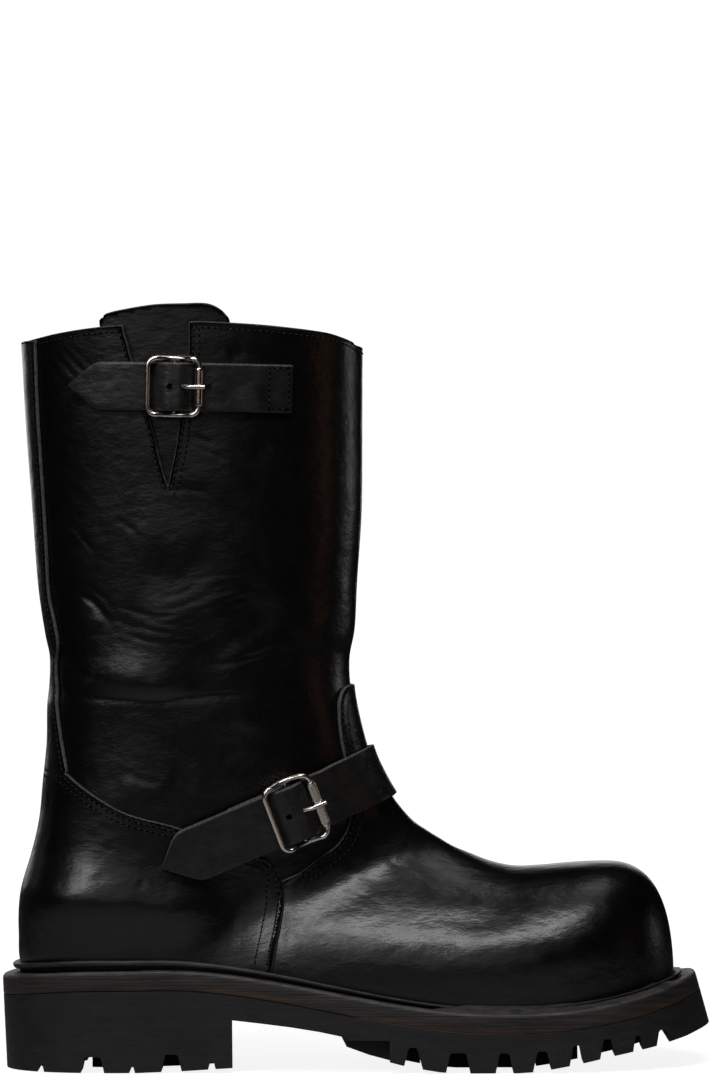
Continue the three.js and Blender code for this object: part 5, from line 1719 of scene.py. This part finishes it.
@once
def stacked_leather():
    """The midsole's edge: dark stacked leather, worn pale at the top and brown lower down."""
    made, tree, shader = material("stacked_leather")
    stack = node(tree, "ShaderNodeAttribute", attribute_name="stack").outputs["Fac"]
    streaks = noise(tree, 3.2, 5, 0.65, stretch=(0.12, 0.12, 1.5))
    dark = blend_colours(tree, spread(tree, streaks, 0, 1), (0.0042, 0.004, 0.004), (0.028, 0.0243, 0.023))
    brown = blend_colours(tree, spread(tree, streaks, 0, 1), (0.014, 0.008, 0.0056), (0.062, 0.031, 0.018))
    low = node(tree, "ShaderNodeMapRange", interpolation_type="SMOOTHSTEP")
    for key, value in (("From Min", 0.44), ("From Max", 0.12), ("To Min", 0.0), ("To Max", 1.0)):
        low.inputs[key].default_value = value
    tree.links.new(stack, low.inputs["Value"])
    patchy = node(tree, "ShaderNodeMath", operation="MULTIPLY")
    tree.links.new(low.outputs["Result"], patchy.inputs[0])
    tree.links.new(spread(tree, noise(tree, 30, 3), 0.0, 0.95, 0.35, 0.62), patchy.inputs[1])
    mixed = node(tree, "ShaderNodeMix", data_type="RGBA")
    tree.links.new(patchy.outputs[0], mixed.inputs[0])
    tree.links.new(dark, mixed.inputs[6])
    tree.links.new(brown, mixed.inputs[7])
    worn = node(tree, "ShaderNodeMapRange", interpolation_type="SMOOTHSTEP")
    for key, value in (("From Min", 0.8), ("From Max", 0.95), ("To Min", 0.0), ("To Max", 0.8)):
        worn.inputs[key].default_value = value
    tree.links.new(stack, worn.inputs["Value"])
    rub = node(tree, "ShaderNodeMath", operation="MULTIPLY")
    tree.links.new(worn.outputs["Result"], rub.inputs[0])
    tree.links.new(spread(tree, noise(tree, 6, 4), 0.1, 1.0), rub.inputs[1])
    top = node(tree, "ShaderNodeMix", data_type="RGBA")
    top.inputs[7].default_value = (0.075, 0.07, 0.068, 1)
    tree.links.new(rub.outputs[0], top.inputs[0])
    tree.links.new(mixed.outputs[2], top.inputs[6])
    tree.links.new(top.outputs[2], shader.inputs["Base Color"])
    layered = bump(tree, streaks, 0.3)
    tree.links.new(bump(tree, waves(tree, 1.4, 2.5), 0.05, 1, layered), shader.inputs["Normal"])
    tree.links.new(spread(tree, streaks, 0.45, 0.62), shader.inputs["Roughness"])
    set_shader(shader, Specular_IOR_Level=0.35)
    return made


@once
def welt_leather():
    made, tree, shader = material("welt_leather")
    streaks = noise(tree, 2.4, 4, 0.6, stretch=(0.25, 0.25, 1.5))
    tree.links.new(
        blend_colours(tree, spread(tree, streaks, 0, 1), (0.002, 0.002, 0.0022), (0.028, 0.027, 0.027)),
        shader.inputs["Base Color"])
    tree.links.new(bump(tree, streaks, 0.08), shader.inputs["Normal"])
    set_shader(shader, Roughness=0.5, Specular_IOR_Level=0.4)
    return made


@once
def nickel():
    """Polished nickel with faint scratches."""
    made, tree, shader = material("nickel")
    set_shader(shader, Metallic=1.0)
    tree.links.new(
        blend_colours(tree, spread(tree, noise(tree, 5, 2), 0, 1), (0.72, 0.67, 0.61), (0.8, 0.76, 0.7)),
        shader.inputs["Base Color"])
    scratch = noise(tree, 0.9, 3, 0.6, stretch=(0.15, 1, 1))
    tree.links.new(spread(tree, scratch, 0.15, 0.24), shader.inputs["Roughness"])
    tree.links.new(bump(tree, scratch, 0.004), shader.inputs["Normal"])
    return made


# Leather panels.
def make_leather(name, outline, lift, thickness, spacing, nodes, lift_at=None):
    points, blocks, slots = drape(outline, lift, spacing, cut_edge(thickness), lift_at)
    mesh = new_mesh(name, points, blocks, [upper_leather(), raw_edge()], slots)
    return finish_piece(name, mesh, nodes)


COUNTER_FRONT = side_points(COUNTER_EDGE)[COUNTER_CORNER:]


def counter_lift(flat):
    """The counter rises over the vamp's rear edge along its front."""
    point, _ = surface(flat[:, 0], flat[:, 1])
    over = smooth_step((point[:, 0] - COUNTER_FRONT[:, 0].mean() + 13) / 12)
    low = smooth_step((COUNTER_FRONT[0, 1] + 16 - point[:, 2]) / 14)
    return 0.7 * over * low


def vamp_lift(flat):
    """The vamp dips towards its rear edge, under the counter."""
    point, _ = surface(flat[:, 0], flat[:, 1])
    behind = smooth_step((COUNTER_FRONT[:, 0].mean() + 7 - point[:, 0]) / 7)
    low = smooth_step((COUNTER_FRONT[0, 1] + 8 - point[:, 2]) / 10)
    return -0.9 * behind * low


def make_lining():
    """The inside of the upper, from the collar to the toe."""
    points, blocks, _ = drape(lining_outline(), -WALL, 3.4, flip=True)
    mesh = new_mesh("lining", points, blocks, [lining()])
    return finish_piece("inner_lining", mesh)


def make_gusset():
    outline = gusset_outline()
    lift = -WALL - GAP
    front, blocks, slots = drape(outline, lift, 1.6, cut_edge(OVERLAY))
    back, back_blocks, back_slots = drape(outline, lift - OVERLAY, 2.5, flip=True)
    count = len(front)
    blocks += [block + count for block in back_blocks]
    slots = np.concatenate([slots, back_slots + 2])
    mesh = new_mesh("gusset", np.vstack([front, back]), blocks, [upper_leather(), raw_edge(), lining()], slots)
    return finish_piece("collar_gusset", mesh, ("gusset",))


# Stitches.
def beside(line, distance):
    """The line moved sideways over the form, by millimetres to its left as seen from outside."""
    u, w = line[:, 0], line[:, 1]
    p, n = surface(u, w)
    step_u, step_w = 0.05, 0.0003
    along_u = (surface(u + step_u, w)[0] - p) / step_u
    along_w = (surface(u, w + step_w)[0] - p) / step_w
    ahead = unit(np.gradient(p, axis=0))
    left = np.cross(n, ahead) * distance
    a, b, c = (along_u**2).sum(1), (along_u * along_w).sum(1), (along_w**2).sum(1)
    d, e = (along_u * left).sum(1), (along_w * left).sum(1)
    det = a * c - b * b
    return line + np.stack([(d * c - e * b) / det, (a * e - b * d) / det], 1)


THREAD_RADIUS = 0.34
PINHOLE_RADIUS = 0.48
PITCH = 2.8

# How far each seam lies from its edge. The counter's pairs are for its top and its front.
COLLAR_SEAM = 2.4
NOTCH_REAR_SEAM = 1.5
NOTCH_FRONT_SEAMS = (1.7, 4.3)
BACKSTAY_SEAM = 2.1
COUNTER_SEAMS = ((1.8, 2.2), (4.4, 7.8))
VAMP_SEAMS = (1.6, 5.2)


def stitch_shapes(centre, ahead, normal, pitch):
    """Joined capsules, one for each stitch, dipping into the leather at both ends."""
    sides, half = 6, 0.37 * pitch
    side = unit(np.cross(normal, ahead))
    ahead = unit(ahead + 0.16 * side)
    profile = [(-1.0, 0.4, -1.2), (-0.75, 0.9, -0.3), (0.0, 1.0, 0.2), (0.75, 0.9, -0.3), (1.0, 0.4, -1.2)]
    turn = np.arange(sides) / sides * 2 * math.pi
    rings = []
    for along, size, rise in profile:
        middle = centre + ahead * along * half + normal * rise * THREAD_RADIUS
        ring = middle[:, None] + THREAD_RADIUS * size * (
            side[:, None] * np.cos(turn)[None, :, None] + normal[:, None] * np.sin(turn)[None, :, None])
        rings.append(ring)
    points = np.stack(rings, 1)
    count, steps = points.shape[:2]
    index = np.arange(count * steps * sides).reshape(count, steps, sides)
    following = np.roll(index, -1, 2)
    quads = np.stack([index[:, :-1], index[:, 1:], following[:, 1:], following[:, :-1]], -1).reshape(-1, 4)
    ends = [index[:, 0, ::-1], index[:, -1]]
    return points.reshape(-1, 3), [quads, *ends]


def pinhole_shade_plugs(centre, ahead, normal):
    """Dark plugs where the thread goes in: painted shade for the needle holes' shadow."""
    sides = 7
    side = unit(np.cross(normal, ahead))
    turn = np.arange(sides) / sides * 2 * math.pi
    ring = PINHOLE_RADIUS * (
        1.25 * ahead[:, None] * np.cos(turn)[None, :, None] + side[:, None] * np.sin(turn)[None, :, None])
    rings = [centre[:, None] + ring + normal[:, None] * height for height in (-0.5, 0.04)]
    points = np.stack(rings, 1)
    index = np.arange(len(centre) * 2 * sides).reshape(-1, 2, sides)
    following = np.roll(index, -1, 2)
    wall = np.stack([index[:, 0], index[:, 1], following[:, 1], following[:, 0]], -1).reshape(-1, 4)
    return points.reshape(-1, 3), [wall, index[:, 0, ::-1], index[:, 1]]


def stitch_row(line, lift, lift_at=None):
    line = even(line, PITCH)
    height = np.full(len(line), float(lift))
    if lift_at is not None:
        height += lift_at(line)
    return sewn(*skin(line[:, 0], line[:, 1], height))


def sewn(p, n, pitch=PITCH):
    """Stitches, and dark plugs of painted shade at their holes, along evenly spaced points with their normals."""
    centre, ahead = (p[:-1] + p[1:]) / 2, unit(p[1:] - p[:-1])
    thread_part = stitch_shapes(centre, ahead, unit(n[:-1] + n[1:]), pitch)
    return thread_part, pinhole_shade_plugs(p, unit(np.gradient(p, axis=0)), n)


def make_stitches(name, rows):
    points, blocks, slots, base = [], [], [], 0
    for row in rows:
        for kind, (p, faces) in enumerate(row):
            points.append(p)
            blocks += [block + base for block in faces]
            slots += [np.full(len(block), kind) for block in faces]
            base += len(p)
    mesh = new_mesh(name, np.vstack(points), blocks, [thread(), pinhole_shade()], np.concatenate(slots))
    fix_facing(mesh)
    return finish_piece(name, mesh)


def make_all_stitches():
    collar = collar_outline()
    notch = notch_below(collar)
    tip = int(np.argmax(notch[:, 0]))
    rear, front = notch[: tip + 1], notch[tip:]
    rows = []
    for part in (collar[collar[:, 1] < front[-1, 1] - 0.008], collar[collar[:, 1] > rear[0, 1] + 0.008]):
        part = part[np.abs(part[:, 1]) < 0.97]
        rows.append(stitch_row(beside(part, COLLAR_SEAM), 0.0))
    make_stitches("collar_stitches", rows)
    rows = [stitch_row(beside(rear[2:], -NOTCH_REAR_SEAM), 0.0)]
    rows += [stitch_row(beside(front[:-2], -distance), 0.0) for distance in NOTCH_FRONT_SEAMS]
    make_stitches("notch_stitches", rows)

    above = GAP + OVERLAY
    rows = []
    for side in (1, -1):
        edge = mirrored_edge(BACKSTAY_EDGE)[side]
        edge = edge[edge[:, 0] > collar[0, 0] + 3]
        rows.append(stitch_row(beside(edge, -side * BACKSTAY_SEAM), above))
    make_stitches("backstay_stitches", rows)

    rows = []
    for side in (1, -1):
        edge = mirrored_edge(COUNTER_EDGE)[side]
        edge = edge[np.abs(edge[:, 1]) < 0.985]
        edge = edge[: int(0.985 * len(edge))]
        height = surface(edge[:, 0], edge[:, 1])[0][:, 2]
        on_front = smooth_step((COUNTER_FRONT[0, 1] + 8 - height) / 10)
        for distance, front_distance in COUNTER_SEAMS:
            away = -side * mix(distance, front_distance, on_front)[:, None]
            rows.append(stitch_row(beside(edge, away), above, lift_at=counter_lift))
    make_stitches("counter_stitches", rows)

    rows = []
    for side in (1, -1):
        edge = mirrored_edge(VAMP_EDGE)[side]
        edge = edge[np.abs(edge[:, 1]) > 0.02]
        for distance in VAMP_SEAMS:
            rows.append(stitch_row(beside(edge, -side * distance), above))
    make_stitches("vamp_stitches", rows)


# The studio.
CAMERA_X = 4.85
CAMERA_HEIGHT = 239.0
CAMERA_DISTANCE = 2600.0
FRAME_HEIGHT_SEEN = 500.7
CAMERA_ROLL = math.radians(0.5)
SENSOR = 36.0


def make_camera():
    data = bpy.data.cameras.new("camera")
    data.sensor_width = SENSOR
    data.lens = SENSOR * CAMERA_DISTANCE / FRAME_HEIGHT_SEEN
    data.clip_start, data.clip_end = 0.1, 60.0
    camera = bpy.data.objects.new("camera", data)
    c, s = math.cos(CAMERA_ROLL), math.sin(CAMERA_ROLL)
    turn = Matrix(((c, s, 0, 0), (0, 0, -1, 0), (-s, c, 0, 0), (0, 0, 0, 1)))
    place = Matrix.Translation(Vector((CAMERA_X, -CAMERA_DISTANCE, CAMERA_HEIGHT)) / 1000)
    camera.matrix_world = place @ turn
    bpy.context.scene.collection.objects.link(camera)
    bpy.context.scene.camera = camera


# The floor is white to the camera. Near the boot it also lights the leather a little with a faint painted glow, and
# its colour is a painted pool of light: pale near the boot, dark farther off.
FLOOR_WHITE = 0.88
FLOOR_GLOW = 0.06
FLOOR_REACH = 9.0
FLOOR_Z = -0.0004


def make_floor():
    mesh = bpy.data.meshes.new("floor")
    sides = 96
    turns = [k / sides * math.tau for k in range(sides)]
    rim = [(FLOOR_REACH * math.cos(turn), FLOOR_REACH * math.sin(turn), FLOOR_Z) for turn in turns]
    mesh.from_pydata(rim, [], [list(range(sides))])
    made, tree, shader = material("floor_white")
    away = node(tree, "ShaderNodeVectorMath", operation="LENGTH")
    tree.links.new(place_of(tree), away.inputs[0])
    # Painted pool of light: the colour is pale near the boot and dark farther off, and the painted glow near the boot
    # reaches the leather.
    near = spread(tree, away.outputs["Value"], 1, 0, 0.15, 0.55)
    tree.links.new(blend_colours(tree, near, (0.04, 0.04, 0.04), (0.4, 0.4, 0.4)), shader.inputs["Base Color"])
    glow = node(tree, "ShaderNodeMix")
    path = node(tree, "ShaderNodeLightPath")
    tree.links.new(path.outputs["Is Camera Ray"], glow.inputs[0])
    tree.links.new(spread(tree, near, 0.0, FLOOR_GLOW, 0, 1), glow.inputs[2])
    tree.links.new(spread(tree, near, 1.06, FLOOR_WHITE, 0, 1), glow.inputs[3])
    tree.links.new(glow.outputs[0], shader.inputs["Emission Strength"])
    set_shader(shader, Roughness=0.9, Specular_IOR_Level=0.1)
    shader.inputs["Emission Color"].default_value = (1, 1, 1, 1)
    mesh.materials.append(made)
    floor = bpy.data.objects.new("floor", mesh)
    bpy.context.scene.collection.objects.link(floor)


SoftLight = namedtuple("SoftLight", "name place aim size power colour spread", defaults=[180])
LIGHTS = [
    SoftLight("front", (-0.05, -0.9, 1.55), (0.0, 0.0, 0.1), (1.1, 0.28), 14, (1, 0.97, 0.97)),
    SoftLight("side", (-0.9, -1.4, 1.38), (-0.1, 0.0, 0.1), (0.6, 0.4), 7, (1, 0.98, 0.98)),
    SoftLight("middle", (-1.35, -1.45, 1.05), (-0.05, 0.0, 0.15), (0.9, 0.5), 4.5, (1, 0.98, 0.98)),
    SoftLight("wide", (-0.65, -2.3, 0.85), (0.0, 0.0, 0.2), (1.9, 1.0), 2.8, (1, 0.98, 0.98)),
    SoftLight("top", (0.4, 0.3, 1.95), (0.0, 0.0, 0.1), (0.8, 0.5), 2.2, (1, 1, 1)),
    SoftLight("back_left", (-1.5, 0.9, 0.9), (0, 0, 0.15), (0.4, 1.3), 0.3, (1, 1, 1)),
    SoftLight("behind", (-0.4, 2.6, 0.6), (0, 0, 0.2), (2.4, 0.8), 9, (1, 1, 1)),
    SoftLight("back_right", (1.5, 0.7, 0.34), (-0.05, 0, 0.3), (0.4, 0.45), 0.014, (1, 0.98, 0.97), 16),
    SoftLight("warm_right", (1.35, -0.5, 0.3), (-0.07, 0, 0.28), (0.3, 0.36), 0.003, (1, 0.5, 0.32), 16),
]


def make_lights():
    for light in LIGHTS:
        data = bpy.data.lights.new(light.name, "AREA")
        data.shape = "RECTANGLE"
        data.size, data.size_y = light.size
        data.energy = light.power
        data.color = light.colour
        data.spread = math.radians(light.spread)
        lamp = bpy.data.objects.new(light.name, data)
        lamp.location = light.place
        lamp.rotation_euler = (Vector(light.aim) - Vector(light.place)).to_track_quat("-Z", "Y").to_euler()
        lamp.visible_camera = False
        bpy.context.scene.collection.objects.link(lamp)


WORLD_DIM = 0.008
WORLD_WHITE = 1.05


def make_world():
    """White where the camera looks past the boot, and dim elsewhere, as in a dark studio."""
    world = bpy.data.worlds.new("studio")
    world.use_nodes = True
    tree = world.node_tree
    tree.nodes.clear()
    dim = node(tree, "ShaderNodeBackground", Color=(0.5, 0.5, 0.5, 1), Strength=WORLD_DIM)
    white = node(tree, "ShaderNodeBackground", Color=(1, 1, 1, 1), Strength=WORLD_WHITE)
    path = node(tree, "ShaderNodeLightPath")
    chosen = node(tree, "ShaderNodeMixShader")
    output = node(tree, "ShaderNodeOutputWorld")
    tree.links.new(path.outputs["Is Camera Ray"], chosen.inputs[0])
    tree.links.new(dim.outputs[0], chosen.inputs[1])
    tree.links.new(white.outputs[0], chosen.inputs[2])
    tree.links.new(chosen.outputs[0], output.inputs[0])
    bpy.context.scene.world = world
    bpy.context.scene.view_settings.view_transform = "Standard"


make_camera()
make_floor()
make_lights()
make_world()

make_leather("shaft", shaft_outline(), 0.0, WALL, 1.25, ("upper",))
make_lining()
make_gusset()
make_leather("heel_counter", counter_outline(), GAP + OVERLAY, OVERLAY, 1.5, ("counter",), counter_lift)
make_leather("forefoot_vamp", vamp_outline(), GAP + OVERLAY, OVERLAY, 1.6, ("vamp",), vamp_lift)
make_leather("back_strip", backstay_outline(), GAP + OVERLAY, OVERLAY, 1.3, ("backstay",))
make_all_stitches()
make_outsole()
make_midsole()
make_welt()
make_insole()
for one_strap in STRAPS:
    make_strap(one_strap)
